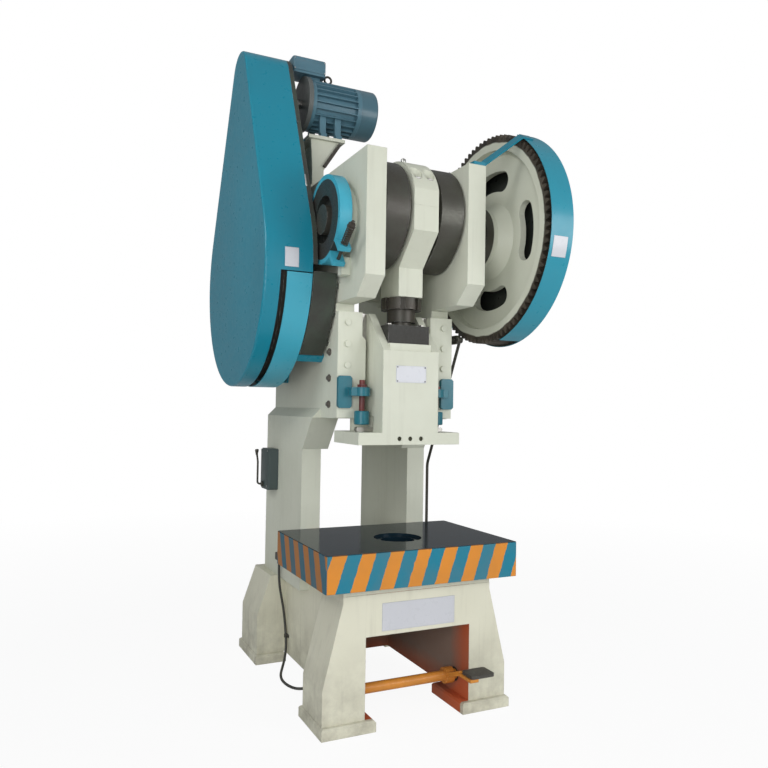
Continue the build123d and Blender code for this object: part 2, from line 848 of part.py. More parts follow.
def make_gib():
    """The right guide gib, with a V groove for the ram's rib, and its keeper plate in front."""
    middle = (rib_front_y + rib_back_y) / 2
    face_x = ram_half_width + slide_gap
    gib = plate_xy([
        (face_x, jaw_front_y),
        (head_inner_x - fit_gap, jaw_front_y),
        (head_inner_x - fit_gap, gib_back_y),
        (face_x, gib_back_y),
        (face_x, rib_back_y + slide_gap),
        (rib_apex_x + slide_gap, middle + rib_land / 2 + slide_gap),
        (rib_apex_x + slide_gap, middle - rib_land / 2 - slide_gap),
        (face_x, rib_front_y - slide_gap),
    ], gib_bottom_z, gib_top_z)
    keeper = plate_xz([
        (gib_inner_x, gib_bottom_z),
        (gib_outer_x, gib_bottom_z),
        (gib_outer_x, gib_top_z),
        (gib_step_x, gib_top_z),
        (gib_step_x, gib_step_z + (gib_step_x - gib_inner_x)),
        (gib_inner_x, gib_step_z),
    ], jaw_front_y - keeper_thickness, jaw_front_y)
    for shank in keeper_bolt_shanks():
        keeper -= shank
    return gib, keeper


def evenly_between(low, high, count):
    """Evenly spaced places between two ends, half a pitch in from each."""
    return [low + (high - low) * (index + 0.5) / count for index in range(count)]


def keeper_bolt_shanks():
    """The shanks of the right keeper's bolts, above the knock-out stop."""
    x = (head_inner_x + head_outer_x) / 2
    heights = evenly_between(stop_plate_high_z, gib_top_z, keeper_bolt_count)
    return [bar_y(gib_bolt_radius, x, jaw_front_y - keeper_thickness, jaw_front_y, z)
            for z in heights]


def adjuster_shanks():
    """The shanks of the adjusting screws in the right jaw's side."""
    heights = evenly_between(gib_bottom_z, gib_top_z, adjuster_count)
    return [bar_x(adjuster_radius, head_outer_x - adjuster_reach, head_outer_x + adjuster_reach,
                  adjuster_y, z) for z in heights]


def make_gib_bolts():
    """Keeper bolts in front and adjusting screws with their nuts in the sides of the jaws."""
    bolts = []
    for shank in keeper_bolt_shanks():
        place = shank.center()
        front_y = jaw_front_y - keeper_thickness
        bolts.append(shank + bar_y(1.6 * gib_bolt_radius, place.X, front_y - gib_bolt_radius,
                                   front_y, place.Z))
    for shank in adjuster_shanks():
        bolts.append(shank + hex_x(2 * adjuster_radius, head_outer_x,
                                   head_outer_x + adjuster_radius, adjuster_y, shank.center().Z))
    return group(bolts)


def make_knockout_stop():
    """The right stop: a bracket on the keeper, its screw and the head above the bar."""
    keeper_front_y = jaw_front_y - keeper_thickness
    bracket = block(stop_plate_inner_x, stop_plate_outer_x, keeper_front_y - stop_plate_thickness,
                    keeper_front_y, stop_plate_low_z, stop_plate_high_z)
    bracket = chamfer(bracket.edges().filter_by(Axis.Y), stop_plate_thickness / 2)
    arm_half_width = -crank_axis_y - stop_plate_thickness + stop_screw_radius
    bracket += block(stop_x, stop_plate_inner_x + stop_plate_thickness,
                     crank_axis_y - stop_boss_radius / 2, keeper_front_y - arm_half_width / 4,
                     stop_arm_low_z, stop_arm_high_z)
    bracket += bar_z(stop_boss_radius, stop_x, crank_axis_y, stop_arm_low_z, stop_arm_high_z)
    bracket -= block(0, stop_plate_outer_x, keeper_front_y, jaw_front_y, stop_arm_low_z,
                     stop_arm_high_z)
    bracket -= bar_z(stop_screw_radius, stop_x, crank_axis_y, stop_arm_low_z, stop_arm_high_z)
    bar_top_z = ram_bottom_z + flange_height + slide_gap + bar_height
    head_bottom_z = bar_top_z + bar_travel + slide_gap
    head_top_z = head_bottom_z + stop_head_height
    screw = bar_z(stop_screw_radius, stop_x, crank_axis_y, head_top_z, stop_screw_top_z)
    screw += hex_z(1.8 * stop_screw_radius, stop_x, crank_axis_y, stop_arm_high_z,
                   stop_arm_high_z + stop_screw_radius)
    head = bar_z(stop_head_radius, stop_x, crank_axis_y, head_bottom_z, head_top_z)
    head = chamfer(head.edges().filter_by(GeomType.CIRCLE), stop_head_radius / 10)
    return bracket, screw, head


def tooth_outline(teeth, centre_y, centre_z, heading, shift):
    """Points of an involute gear's outline, with a tooth centred shift pitches off the heading."""
    pitch_radius = gear_module * teeth / 2
    base_radius = pitch_radius * cos(radians(pressure_angle))
    root_radius = pitch_radius - tooth_root_depth
    tip_radius = pitch_radius + gear_module
    flank = [root_radius]
    if base_radius > root_radius:
        flank.append(base_radius)
    flank += [pitch_radius, (pitch_radius + tip_radius) / 2, tip_radius]

    def involute(angle):
        return tan(angle) - angle

    def half_angle(radius):
        lean = acos(base_radius / max(radius, base_radius))
        thinning = tooth_backlash / (2 * pitch_radius)
        return pi / (2 * teeth) + involute(radians(pressure_angle)) - involute(lean) - thinning

    points = []
    for index in range(teeth):
        centre = heading + 2 * pi * (index + shift) / teeth
        side = [(radius, centre - half_angle(radius)) for radius in flank]
        side += [(radius, centre + half_angle(radius)) for radius in reversed(flank)]
        points += [(centre_y + radius * cos(angle), centre_z + radius * sin(angle))
                   for radius, angle in side]
    return points


def ring_sector(inner, outer, x0, x1, y, z, start, end):
    """Part of a ring about an axis along X, between two angles in degrees from +Y towards +Z."""
    steps = ceil((end - start) / 50)
    reach = 3 * outer
    fan = [(y, z)]
    for index in range(steps + 1):
        angle = radians(start + (end - start) * index / steps)
        fan.append((y + reach * cos(angle), z + reach * sin(angle)))
    ring = bar_x(outer, x0, x1, y, z) - bar_x(inner, x0, x1, y, z)
    return ring & plate_yz(fan, x0, x1)


def at_angle(shape, y, z, angle):
    """A shape drawn along +Y, turned to an angle about an axis along X."""
    return Pos(0, y, z) * Rot(angle, 0, 0) * shape


def strut(start, end, width, thickness):
    """A flat bar between two points, its width square to X."""
    along = Vector(*end) - Vector(*start)
    place = Plane(origin=start, x_dir=along.cross(Vector(1, 0, 0)), z_dir=along)
    return extrude(place * Rectangle(width, thickness), amount=along.length)


def kidney(middle):
    """One kidney-shaped hole through the gear's web, centred on an angle in degrees."""
    x0 = gear_left_x
    x1 = gear_left_x + gear_face
    hole = ring_sector(kidney_mid_radius - kidney_half_width, kidney_mid_radius + kidney_half_width,
                       x0, x1, crank_axis_y, crank_axis_z,
                       middle - kidney_half_angle, middle + kidney_half_angle)
    for angle in (middle - kidney_half_angle, middle + kidney_half_angle):
        end = bar_x(kidney_half_width, x0, x1, kidney_mid_radius, 0)
        hole += at_angle(end, crank_axis_y, crank_axis_z, angle)
    return hole


def make_gear():
    """The large gear: toothed rim, thin web with kidney holes, coned hub; and its bush."""
    heading = atan2(backshaft_z - crank_axis_z, backshaft_y - crank_axis_y)
    right_x = gear_left_x + gear_face
    middle_x = gear_left_x + gear_face / 2
    rim_inner = gear_pitch_radius - tooth_root_depth - gear_rim_depth
    teeth = plate_yz(tooth_outline(gear_teeth, crank_axis_y, crank_axis_z, heading, 0),
                     gear_left_x, right_x)
    teeth -= bar_x(rim_inner, gear_left_x, right_x, crank_axis_y, crank_axis_z)
    bore = gear_seat_radius + gear_bush_wall
    body = turned_x([
        (gear_hub_left_x, bore),
        (gear_hub_left_x, gear_hub_radius),
        (gear_cone_left_x, gear_hub_radius),
        (middle_x - gear_web_half, gear_cone_radius),
        (middle_x - gear_web_half, rim_inner),
        (middle_x + gear_web_half, rim_inner),
        (middle_x + gear_web_half, gear_hub_radius),
        (gear_hub_right_x, gear_hub_radius),
        (gear_hub_right_x, bore),
    ], crank_axis_y, crank_axis_z)
    gear = teeth + body
    for index in range(kidney_count):
        gear -= kidney(360 * index / kidney_count)
    bush = bar_x(bore, gear_hub_left_x, gear_hub_right_x, crank_axis_y, crank_axis_z)
    bush -= bar_x(gear_seat_radius + running_gap, gear_hub_left_x, gear_hub_right_x,
                  crank_axis_y, crank_axis_z)
    return gear, bush


def make_pinion():
    """The pinion and its long hub on the back shaft."""
    heading = atan2(crank_axis_z - backshaft_z, crank_axis_y - backshaft_y)
    left_x = gear_left_x - pinion_overhang
    right_x = gear_left_x + gear_face + pinion_overhang
    pinion = plate_yz(tooth_outline(pinion_teeth, backshaft_y, backshaft_z, heading, 0.5),
                      left_x, right_x)
    hub_left_x = head_outer_x + backshaft_boss_length / 2 + thrust_gap
    pinion += bar_x(pinion_hub_radius, hub_left_x, left_x, backshaft_y, backshaft_z)
    return pinion - bar_x(backshaft_radius, hub_left_x, right_x, backshaft_y, backshaft_z)


def grooved_edge(left_x, radius):
    """Points of (x, radius) along a pulley's grooved edge, from left to right."""
    slope = tan(radians(belt_flank_angle))
    half_top = belt_width / 2 + slide_gap / cos(radians(belt_flank_angle))
    depth = belt_depth + belt_floor_gap
    half_floor = half_top - depth * slope
    points = [(left_x, radius)]
    for index in range(belt_count):
        x = belt_x(left_x, index)
        points += [(x - half_top, radius), (x - half_floor, radius - depth),
                   (x + half_floor, radius - depth), (x + half_top, radius)]
    points.append((left_x + sheave_width, radius))
    return points


def belt_x(left_x, index):
    """The middle of one belt's groove."""
    return left_x + sheave_width / 2 + belt_pitch * (index - (belt_count - 1) / 2)


def make_flywheel():
    """The flywheel: hub, web, heavy rim and a grooved rim for the belts beside it."""
    rim_right = flywheel_rim_right_x
    rim_left = rim_right - flywheel_rim_width
    rim_inner = flywheel_radius - flywheel_rim_depth
    web_right = (rim_left + rim_right) / 2 + flywheel_web_width / 2
    web_left = web_right - flywheel_web_width
    hub_right = -head_outer_x - backshaft_boss_length / 2 - thrust_gap
    hub_left = hub_right - flywheel_hub_length
    sheave_inner = sheave_radius - sheave_rim_depth
    profile = [
        (hub_left, backshaft_radius),
        (hub_left, flywheel_hub_radius),
        (web_left, flywheel_hub_radius),
        (web_left, rim_inner),
        (rim_left, rim_inner),
        (rim_left, sheave_inner),
        (sheave_left_x, sheave_inner),
    ]
    profile += grooved_edge(sheave_left_x, sheave_radius)
    profile += [
        (rim_left, sheave_radius),
        (rim_left, flywheel_radius),
        (rim_right, flywheel_radius),
        (rim_right, rim_inner),
        (web_right, rim_inner),
        (web_right, flywheel_hub_radius),
        (hub_right, flywheel_hub_radius),
        (hub_right, backshaft_radius),
    ]
    return turned_x(profile, backshaft_y, backshaft_z)


def make_back_shaft():
    """The back shaft and the nut that holds the flywheel on it."""
    right_x = gear_left_x + gear_face + pinion_overhang + backshaft_stub
    shaft = bar_x(backshaft_radius, backshaft_left_x, right_x, backshaft_y, backshaft_z)
    hub_left = -head_outer_x - backshaft_boss_length / 2 - thrust_gap - flywheel_hub_length
    nut = hex_x(shaft_nut_radius, hub_left - shaft_nut_width, hub_left, backshaft_y, backshaft_z)
    nut -= bar_x(backshaft_radius, hub_left - shaft_nut_width, hub_left, backshaft_y, backshaft_z)
    return shaft, nut


def make_motor_pulley():
    """The grooved motor pulley."""
    profile = [(sheave_left_x, motor_shaft_radius)]
    profile += grooved_edge(sheave_left_x, motor_pulley_radius)
    profile.append((sheave_left_x + sheave_width, motor_shaft_radius))
    return turned_x(profile, motor_axis_y, motor_axis_z)


def make_belts():
    """Four V-belts round the flywheel and the motor pulley."""
    slope = tan(radians(belt_flank_angle))
    half_bottom = belt_width / 2 - belt_depth * slope
    belts = []
    for index in range(belt_count):
        x = belt_x(sheave_left_x, index)
        outside = hull_face(x - belt_width / 2, backshaft_y, backshaft_z, sheave_radius,
                            motor_axis_y, motor_axis_z, motor_pulley_radius)
        path = outside.faces()[0].outer_wire()
        start = path.position_at(0)
        along = path.tangent_at(0)
        inward = Vector(0, backshaft_y, backshaft_z) - Vector(0, start.Y, start.Z)
        inward = inward - along * inward.dot(along)
        frame = Plane(origin=start, x_dir=(1, 0, 0), z_dir=along)
        side = 1 if frame.y_dir.dot(inward) > 0 else -1
        section = frame * Polygon((0, 0), (belt_width, 0),
                                  (belt_width / 2 + half_bottom, side * belt_depth),
                                  (belt_width / 2 - half_bottom, side * belt_depth))
        belts.append(sweep(section, path=path))
    return group(belts)


def make_belt_guard():
    """The belt guard's cover, a drop-shaped plate with a rim, and the lower band beside it."""
    outer = flywheel_radius + guard_gap + guard_sheet
    cover = extrude(hull_face(guard_outer_x, backshaft_y, backshaft_z, outer,
                              motor_axis_y, guard_top_z, guard_top_radius),
                    amount=guard_inner_x - guard_outer_x, dir=(1, 0, 0))
    cover = fillet(cover.edges().group_by(Axis.X)[0], 2 * guard_sheet)
    cover -= extrude(hull_face(guard_outer_x + guard_sheet, backshaft_y, backshaft_z,
                               outer - guard_sheet, motor_axis_y, guard_top_z,
                               guard_top_radius - guard_sheet),
                     amount=guard_inner_x - guard_outer_x, dir=(1, 0, 0))
    cover -= block(guard_slot_outer_x, guard_inner_x + guard_sheet, backshaft_y - outer,
                   backshaft_y + outer, backshaft_z - outer, guard_slot_top_z)
    band = bar_x(outer, guard_slot_inner_x, guard_inner_x, backshaft_y, backshaft_z)
    band -= bar_x(outer - guard_sheet, guard_slot_inner_x, guard_inner_x, backshaft_y, backshaft_z)
    band -= block(guard_slot_inner_x, guard_inner_x, backshaft_y - outer, backshaft_y + outer,
                  guard_slot_top_z - guard_seam, backshaft_z + outer)
    return cover, band


def make_guard_rim():
    """The dark rim that closes the gap between the cover's edge and the frame."""
    outer = flywheel_radius + guard_gap + guard_sheet
    rim = extrude(hull_face(guard_inner_x, backshaft_y, backshaft_z, outer,
                            motor_axis_y, guard_top_z, guard_top_radius),
                  amount=guard_rim_width, dir=(1, 0, 0))
    rim -= extrude(hull_face(guard_inner_x, backshaft_y, backshaft_z, outer - guard_rim_lip,
                             motor_axis_y, guard_top_z, guard_top_radius - guard_rim_lip),
                   amount=guard_rim_width, dir=(1, 0, 0))
    rim -= extrude(hull_face(guard_inner_x + guard_sheet, backshaft_y, backshaft_z,
                             outer - guard_sheet, motor_axis_y, guard_top_z,
                             guard_top_radius - guard_sheet),
                   amount=guard_rim_width, dir=(1, 0, 0))
    rim -= block(guard_inner_x, guard_inner_x + guard_rim_width, backshaft_y - outer,
                 backshaft_y + outer, backshaft_z - outer, guard_slot_top_z + guard_rim_lip)
    return rim - block(guard_inner_x, guard_inner_x + guard_sheet, backshaft_y - outer,
                       backshaft_y + outer, guard_bar_z - 2 * bracket_thickness,
                       guard_bar_z + bracket_thickness)


def make_guard_brackets():
    """Two flat bars from the frame to the lower band, and the bar that carries the cover's top."""
    inner = flywheel_radius + guard_gap
    seat = sqrt(inner ** 2 - (bracket_width / 2) ** 2)
    lower = []
    for angle in bracket_angles:
        bar = block(guard_inner_x - bracket_width, -head_outer_x,
                    seat - bracket_thickness, seat, -bracket_width / 2, bracket_width / 2)
        foot = block(-head_outer_x - bracket_thickness, -head_outer_x,
                     seat - bracket_width, seat, -bracket_width / 2, bracket_width / 2)
        lower.append(at_angle(bar + foot, backshaft_y, backshaft_z, angle))
    left_x = guard_inner_x - bracket_width
    inside = extrude(hull_face(left_x, backshaft_y, backshaft_z, inner, motor_axis_y, guard_top_z,
                               guard_top_radius - guard_sheet), amount=bracket_width, dir=(1, 0, 0))
    top = inside & block(left_x, guard_inner_x, backshaft_y - inner, backshaft_y + inner,
                         guard_bar_z - bracket_thickness, guard_bar_z)
    top += block(left_x, bracket_left_x, motor_axis_y - bracket_width, motor_axis_y + bracket_width,
                 guard_bar_z - bracket_thickness, guard_bar_z)
    return lower + [top]


def make_flywheel_shield():
    """The dark inner shield beside the flywheel's lower front, on three tabs."""
    outer = flywheel_radius + guard_gap + guard_sheet
    inner = outer - guard_sheet
    left_x = guard_inner_x + shield_gap
    shield = ring_sector(inner, outer, left_x, shield_right_x, backshaft_y, backshaft_z,
                         180 + shield_start_angle, 180 + shield_end_angle)
    for angle in shield_tab_angles:
        tab = block(shield_right_x - guard_sheet, -head_outer_x, inner - bracket_thickness, inner,
                    -bracket_width / 4, bracket_width / 4)
        shield += at_angle(tab, backshaft_y, backshaft_z, 180 + angle)
    return shield


def make_gear_guard():
    """The gear guard: a closed plate over gear and pinion with a band round the front."""
    inner = gear_pitch_radius + gear_module + gear_guard_gap
    outer = inner + gear_guard_sheet
    plate_left = gear_guard_right_x - gear_guard_sheet
    plate = extrude(hull_face(plate_left, crank_axis_y, crank_axis_z, outer,
                              backshaft_y, backshaft_z, pinion_cover_radius),
                    amount=gear_guard_sheet, dir=(1, 0, 0))
    band = ring_sector(inner, outer, gear_guard_left_x, plate_left, crank_axis_y, crank_axis_z,
                       gear_band_start, gear_band_end)
    return plate + band


def make_gear_guard_straps():
    """The strap from the head to the guard's front band and the stay to its rear."""
    outer = gear_pitch_radius + gear_module + gear_guard_gap + gear_guard_sheet
    width = bracket_width
    foot = block(head_outer_x - 1.5 * width, head_outer_x, head_front_y, head_front_y + 1.5 * width,
                 head_top_z, head_top_z + 2 * bracket_thickness)
    lug = at_angle(block(gear_left_x - bracket_thickness, gear_guard_left_x + width, outer,
                         outer + bracket_thickness, -width / 2, width / 2),
                   crank_axis_y, crank_axis_z, gear_strap_angle)
    lean = radians(gear_strap_angle)
    top = (gear_left_x - bracket_thickness, crank_axis_y + (outer + bracket_thickness / 2) * cos(lean),
           crank_axis_z + (outer + bracket_thickness / 2) * sin(lean))
    low = (head_outer_x - bracket_thickness / 2, head_front_y + width / 2,
           head_top_z + 2 * bracket_thickness)
    front = foot + strut(low, top, width, bracket_thickness) + lug
    stay_y = backshaft_y + pinion_cover_radius - 2 * bracket_thickness
    stay = block(head_outer_x, gear_guard_right_x - gear_guard_sheet, stay_y,
                 stay_y + bracket_thickness, backshaft_z - width / 2, backshaft_z + width / 2)
    return [front, stay]


def make_motor():
    """The motor's finned body on its feet, its flange, cowl, shaft and fan."""
    y = motor_axis_y
    z = motor_axis_z
    outer = motor_radius + motor_fin_height
    body = bar_x(motor_radius, motor_left_x, motor_right_x, y, z)
    fin = block(motor_left_x + motor_flange_width, motor_right_x - motor_flange_width,
                motor_radius - motor_fin_height / 2, outer, -motor_fin_thickness / 2,
                motor_fin_thickness / 2)
    for index in range(motor_fin_count):
        body += at_angle(fin, y, z, 360 * (index + 0.5) / motor_fin_count)
    for x0 in (motor_left_x, motor_right_x - motor_flange_width):
        body += bar_x(outer, x0, x0 + motor_flange_width, y, z)
    for x in (motor_left_x + 1.5 * motor_foot_width, bracket_right_x - 1.5 * motor_foot_width):
        for side in (-1, 1):
            leg_y = y + side * motor_radius * 0.75
            body += block(x, x + motor_foot_width, leg_y - motor_fin_height / 2,
                          leg_y + motor_fin_height / 2, motor_foot_z, z)
            body += block(x, x + motor_foot_width, leg_y, y + side * motor_foot_reach,
                          motor_foot_z, motor_foot_z + motor_fin_height)
    flange = bar_x(motor_flange_radius, motor_left_x - motor_flange_width, motor_left_x, y, z)
    bore_radius = motor_shaft_radius + running_gap
    bore = bar_x(bore_radius, motor_left_x - motor_flange_width, motor_right_x, y, z)
    cowl = bar_x(outer, motor_right_x, cowl_right_x, y, z)
    cowl = fillet(cowl.edges().group_by(Axis.X)[-1], 3 * cowl_sheet)
    cowl -= bar_x(outer - cowl_sheet, motor_right_x, cowl_right_x - cowl_sheet, y, z)
    slot = block(cowl_right_x - cowl_sheet, cowl_right_x, motor_shaft_radius, fan_radius,
                 -motor_fin_thickness / 2, motor_fin_thickness / 2)
    for index in range(motor_fin_count // 2):
        cowl -= at_angle(slot, y, z, 720 * index / motor_fin_count)
    shaft = bar_x(motor_shaft_radius, sheave_left_x, cowl_right_x - 3 * motor_flange_width, y, z)
    fan = make_fan(cowl_right_x - 3 * motor_flange_width)
    return body - bore, flange - bore, cowl, shaft, fan


def make_fan(left_x):
    """The cooling fan on the motor shaft's end."""
    width = motor_flange_width
    fan = bar_x(2 * motor_shaft_radius, left_x, left_x + width, motor_axis_y, motor_axis_z)
    blade = block(left_x, left_x + width, motor_shaft_radius, fan_radius,
                  -cowl_sheet / 2, cowl_sheet / 2)
    for index in range(fan_blade_count):
        fan += at_angle(blade, motor_axis_y, motor_axis_z, 360 * index / fan_blade_count)
    return fan


def make_terminal_box():
    """The terminal box on the motor and the lifting eye beside it."""
    box = block(terminal_left_x, terminal_right_x, motor_axis_y - terminal_half_depth,
                motor_axis_y + terminal_half_depth, terminal_low_z, terminal_high_z)
    box = fillet(box.edges().filter_by(Axis.Z), bolster_corner)
    box = chamfer(box.edges().group_by(Axis.Z)[-1], 3)
    neck_low_z = motor_axis_z + motor_radius
    box += block(motor_left_x, terminal_right_x - motor_flange_width,
                 motor_axis_y - terminal_half_depth / 2, motor_axis_y + terminal_half_depth / 2,
                 neck_low_z, terminal_low_z)
    clearance = motor_radius + motor_fin_height + fit_gap
    box -= bar_x(clearance, terminal_left_x, terminal_right_x, motor_axis_y, motor_axis_z)
    eye_z = motor_axis_z + clearance
    eye = bar_z(eye_radius / 2, eye_x, motor_axis_y, eye_z - motor_fin_height, eye_z + eye_radius / 2)
    eye += Pos(eye_x, motor_axis_y, eye_z + 1.4 * eye_radius) * Rot(90, 0, 0) * Torus(eye_radius, 6)
    return box, eye


def make_motor_bracket():
    """The welded bracket that stands on the left head and carries the motor, and its brace."""
    y0 = motor_axis_y - bracket_half_depth
    y1 = motor_axis_y + bracket_half_depth
    under_z = motor_foot_z - bracket_plate
    plate = block(bracket_left_x, bracket_right_x, y0, y1, under_z, motor_foot_z)
    foot = block(-head_outer_x, -head_inner_x, y0, y1, head_top_z, head_top_z + bracket_plate)
    outline = [
        (gusset_foot_left_x, head_top_z + bracket_plate),
        (gusset_foot_right_x, head_top_z + bracket_plate),
        (gusset_foot_right_x, head_top_z + 6 * bracket_plate),
        (bracket_right_x - bracket_plate, under_z),
        (bracket_left_x + bracket_plate, under_z),
        (gusset_foot_left_x, head_top_z + 6 * bracket_plate),
    ]
    gussets = plate_xz(outline, y0 + bracket_plate, y0 + 2 * bracket_plate)
    gussets += plate_xz(outline, y1 - 2 * bracket_plate, y1 - bracket_plate)
    rib_x = (gusset_foot_left_x + gusset_foot_right_x) / 2
    rib = block(rib_x - bracket_plate / 2, rib_x + bracket_plate / 2, y0 + bracket_plate,
                y1 - bracket_plate, head_top_z, under_z)
    brace = strut((bracket_right_x - 1.5 * bracket_plate, y0 + bracket_plate / 2,
                   under_z - bracket_plate / 2),
                  (gusset_foot_right_x, y0 + bracket_plate / 2, head_top_z + 7 * bracket_plate),
                  bracket_plate, bracket_plate)
    return plate + foot + gussets + rib, brace


def make_brake():
    """The brake drum on the crank's left end, the band round it, and its bolt and spring."""
    drum = turned_x([
        (brake_drum_outer_x, brake_recess_radius),
        (brake_drum_outer_x, brake_radius),
        (brake_drum_inner_x, brake_radius),
        (brake_drum_inner_x, brake_seat_radius),
        (brake_drum_outer_x + brake_recess_depth, brake_seat_radius),
        (brake_drum_outer_x + brake_recess_depth, brake_recess_radius),
    ], crank_axis_y, crank_axis_z)
    outer = brake_radius + fit_gap + band_thickness
    start = brake_gap_angle + brake_gap_half_angle
    end = brake_gap_angle - brake_gap_half_angle + 360
    band = ring_sector(brake_radius + fit_gap, outer, brake_drum_outer_x, brake_drum_inner_x,
                       crank_axis_y, crank_axis_z, start, end)
    middle_x = (brake_drum_outer_x + brake_drum_inner_x) / 2
    bolt_y = outer + brake_ear_reach / 2
    low_gap = outer * sin(radians(brake_gap_half_angle))
    half_gap = low_gap + band_thickness
    hole = bar_z(brake_bolt_radius, middle_x, bolt_y, -half_gap, half_gap)
    for side in (-1, 1):
        ear = block(brake_drum_outer_x, brake_drum_inner_x, brake_radius + fit_gap,
                    outer + brake_ear_reach, side * low_gap, side * half_gap)
        ear -= hole + bar_x(brake_radius + fit_gap, brake_drum_outer_x, brake_drum_inner_x, 0, 0)
        band += at_angle(ear, crank_axis_y, crank_axis_z, brake_gap_angle)
    bolt = bar_z(brake_bolt_radius, middle_x, bolt_y, half_gap - brake_bolt_length,
                 half_gap + 2 * brake_bolt_radius)
    bolt += hex_z(2 * brake_bolt_radius, middle_x, bolt_y, half_gap,
                  half_gap + 1.5 * brake_bolt_radius)
    nut_z = half_gap - brake_bolt_length + 2 * brake_bolt_radius
    bolt += hex_z(2 * brake_bolt_radius, middle_x, bolt_y, nut_z, nut_z + 1.5 * brake_bolt_radius)
    spring_low = nut_z + 1.5 * brake_bolt_radius
    spring = bar_z(2 * brake_bolt_radius, middle_x, bolt_y, spring_low, -half_gap)
    spring -= bar_z(1.2 * brake_bolt_radius, middle_x, bolt_y, spring_low, -half_gap)
    bolt = at_angle(bolt, crank_axis_y, crank_axis_z, brake_gap_angle)
    spring = at_angle(spring, crank_axis_y, crank_axis_z, brake_gap_angle)
    anchor_length = bolt_y + brake_bolt_radius * 4
    anchor = block(brake_drum_inner_x + fit_gap, -head_outer_x, boss_radius + band_thickness,
                   anchor_length, -half_gap - band_thickness, -half_gap + band_thickness)
    anchor = at_angle(anchor, crank_axis_y, crank_axis_z, brake_gap_angle + 4 * brake_gap_half_angle)
    return drum, band, bolt, spring, anchor


def make_treadle():
    """The treadle shaft with its pad arm in front and its lever behind, and the pad on it."""
    shaft = bar_x(treadle_bar_radius, -leg_inner_x + fit_gap, pull_rod_x + lever_thickness / 2,
                  treadle_y, treadle_z)
    arm = strut((treadle_arm_x, treadle_y, treadle_z),
                (treadle_arm_x, pad_back_y, pad_z - pad_thickness), treadle_arm_width / 2,
                treadle_arm_width)
    arm += block(treadle_arm_x - treadle_arm_width / 2, treadle_arm_x + treadle_arm_width / 2,
                 pad_front_y, pad_back_y, pad_z - 2 * pad_thickness, pad_z - pad_thickness)
    arm += bar_x(1.6 * treadle_bar_radius, treadle_arm_x - treadle_arm_width / 2,
                 treadle_arm_x + treadle_arm_width / 2, treadle_y, treadle_z)
    lever = slotted_lever(pull_rod_x - lever_thickness / 2, treadle_y, treadle_z, pull_rod_y,
                          treadle_slot)
    pad = block(pad_inner_x, pad_outer_x, pad_front_y, pad_back_y, pad_z - pad_thickness, pad_z)
    pad = fillet(pad.edges().filter_by(Axis.Z), pad_thickness)
    return shaft + arm + lever, pad


def slotted_lever(x, pivot_y, z, pin_y, slot_length):
    """A lever along Y with a boss at its pivot and a slot that runs outward from the pin's rest."""
    away = 1 if pin_y > pivot_y else -1
    far_y = pin_y + away * slot_length
    half = lever_height / 2
    lever = block(x, x + lever_thickness, pivot_y, far_y, z - half, z + half)
    lever += bar_x(half, x, x + lever_thickness, pivot_y, z)
    lever += bar_x(half, x, x + lever_thickness, far_y, z)
    radius = pin_radius_small + slide_gap * 4
    slot = block(x, x + lever_thickness, pin_y, far_y, z - radius, z + radius)
    slot += bar_x(radius, x, x + lever_thickness, pin_y, z)
    slot += bar_x(radius, x, x + lever_thickness, far_y, z)
    return lever - slot


def make_treadle_bearings():
    """The two bearings of the treadle shaft: a flanged one inside, a bush through the right wall."""
    radius = treadle_bar_radius
    left = bar_x(1.7 * radius, -leg_inner_x, -leg_inner_x + wall_thickness / 2, treadle_y, treadle_z)
    right = bar_x(radius + treadle_bush_wall, leg_inner_x, leg_inner_x + wall_thickness,
                  treadle_y, treadle_z)
    bore = bar_x(radius + running_gap, -leg_inner_x, leg_inner_x + wall_thickness,
                 treadle_y, treadle_z)
    return [left - bore, right - bore]


def make_pull_rod():
    """The bent pull rod between the treadle's lever and the clutch lever, with its two pins."""
    path = FilletPolyline(
        (pull_rod_top_x, pull_rod_top_y, pull_rod_top_z),
        (pull_rod_x + rod_offset, pull_rod_y, pull_rod_bend_z),
        (pull_rod_x + rod_offset, pull_rod_y, treadle_z),
        radius=10 * pull_rod_radius,
    )
    rod = sweep(Plane(origin=path @ 0, z_dir=path % 0) * Circle(pull_rod_radius), path=path)
    half_eye = pull_rod_radius + thrust_gap
    low_eye = bar_x(2 * pull_rod_radius, pull_rod_x + rod_offset - half_eye,
                    pull_rod_x + rod_offset + half_eye, pull_rod_y, treadle_z)
    low_pin = bar_x(pin_radius_small, pull_rod_x - lever_thickness,
                    pull_rod_x + rod_offset, pull_rod_y, treadle_z)
    high_eye = bar_x(2 * pull_rod_radius, pull_rod_top_x - half_eye,
                     pull_rod_top_x + half_eye, pull_rod_top_y, pull_rod_top_z)
    high_pin = bar_x(pin_radius_small, clutch_lever_x - lever_thickness / 2, pull_rod_top_x,
                     pull_rod_top_y, pull_rod_top_z)
    return rod + low_eye + low_pin + high_eye + high_pin


def make_clutch_lever():
    """The clutch trip lever and the pivot that carries it on the right frame."""
    lever = slotted_lever(clutch_lever_x, clutch_pivot_y, pull_rod_top_z, pull_rod_top_y, clutch_slot)
    finger = strut((clutch_lever_x + lever_thickness / 2, clutch_pivot_y, pull_rod_top_z),
                   (clutch_lever_x + lever_thickness / 2, clutch_tip_y, clutch_tip_z),
                   lever_height * 0.7, lever_thickness)
    pivot_radius = 1.5 * pin_radius_small
    lever = lever + finger - bar_x(pivot_radius + running_gap, clutch_lever_x,
                                   clutch_lever_x + lever_thickness, clutch_pivot_y, pull_rod_top_z)
    pivot = bar_x(lever_height / 2, head_outer_x, clutch_lever_x - fit_gap, clutch_pivot_y,
                  pull_rod_top_z)
    pivot += bar_x(pivot_radius, head_outer_x, clutch_lever_x + lever_thickness + pin_radius_small,
                   clutch_pivot_y, pull_rod_top_z)
    return lever, pivot


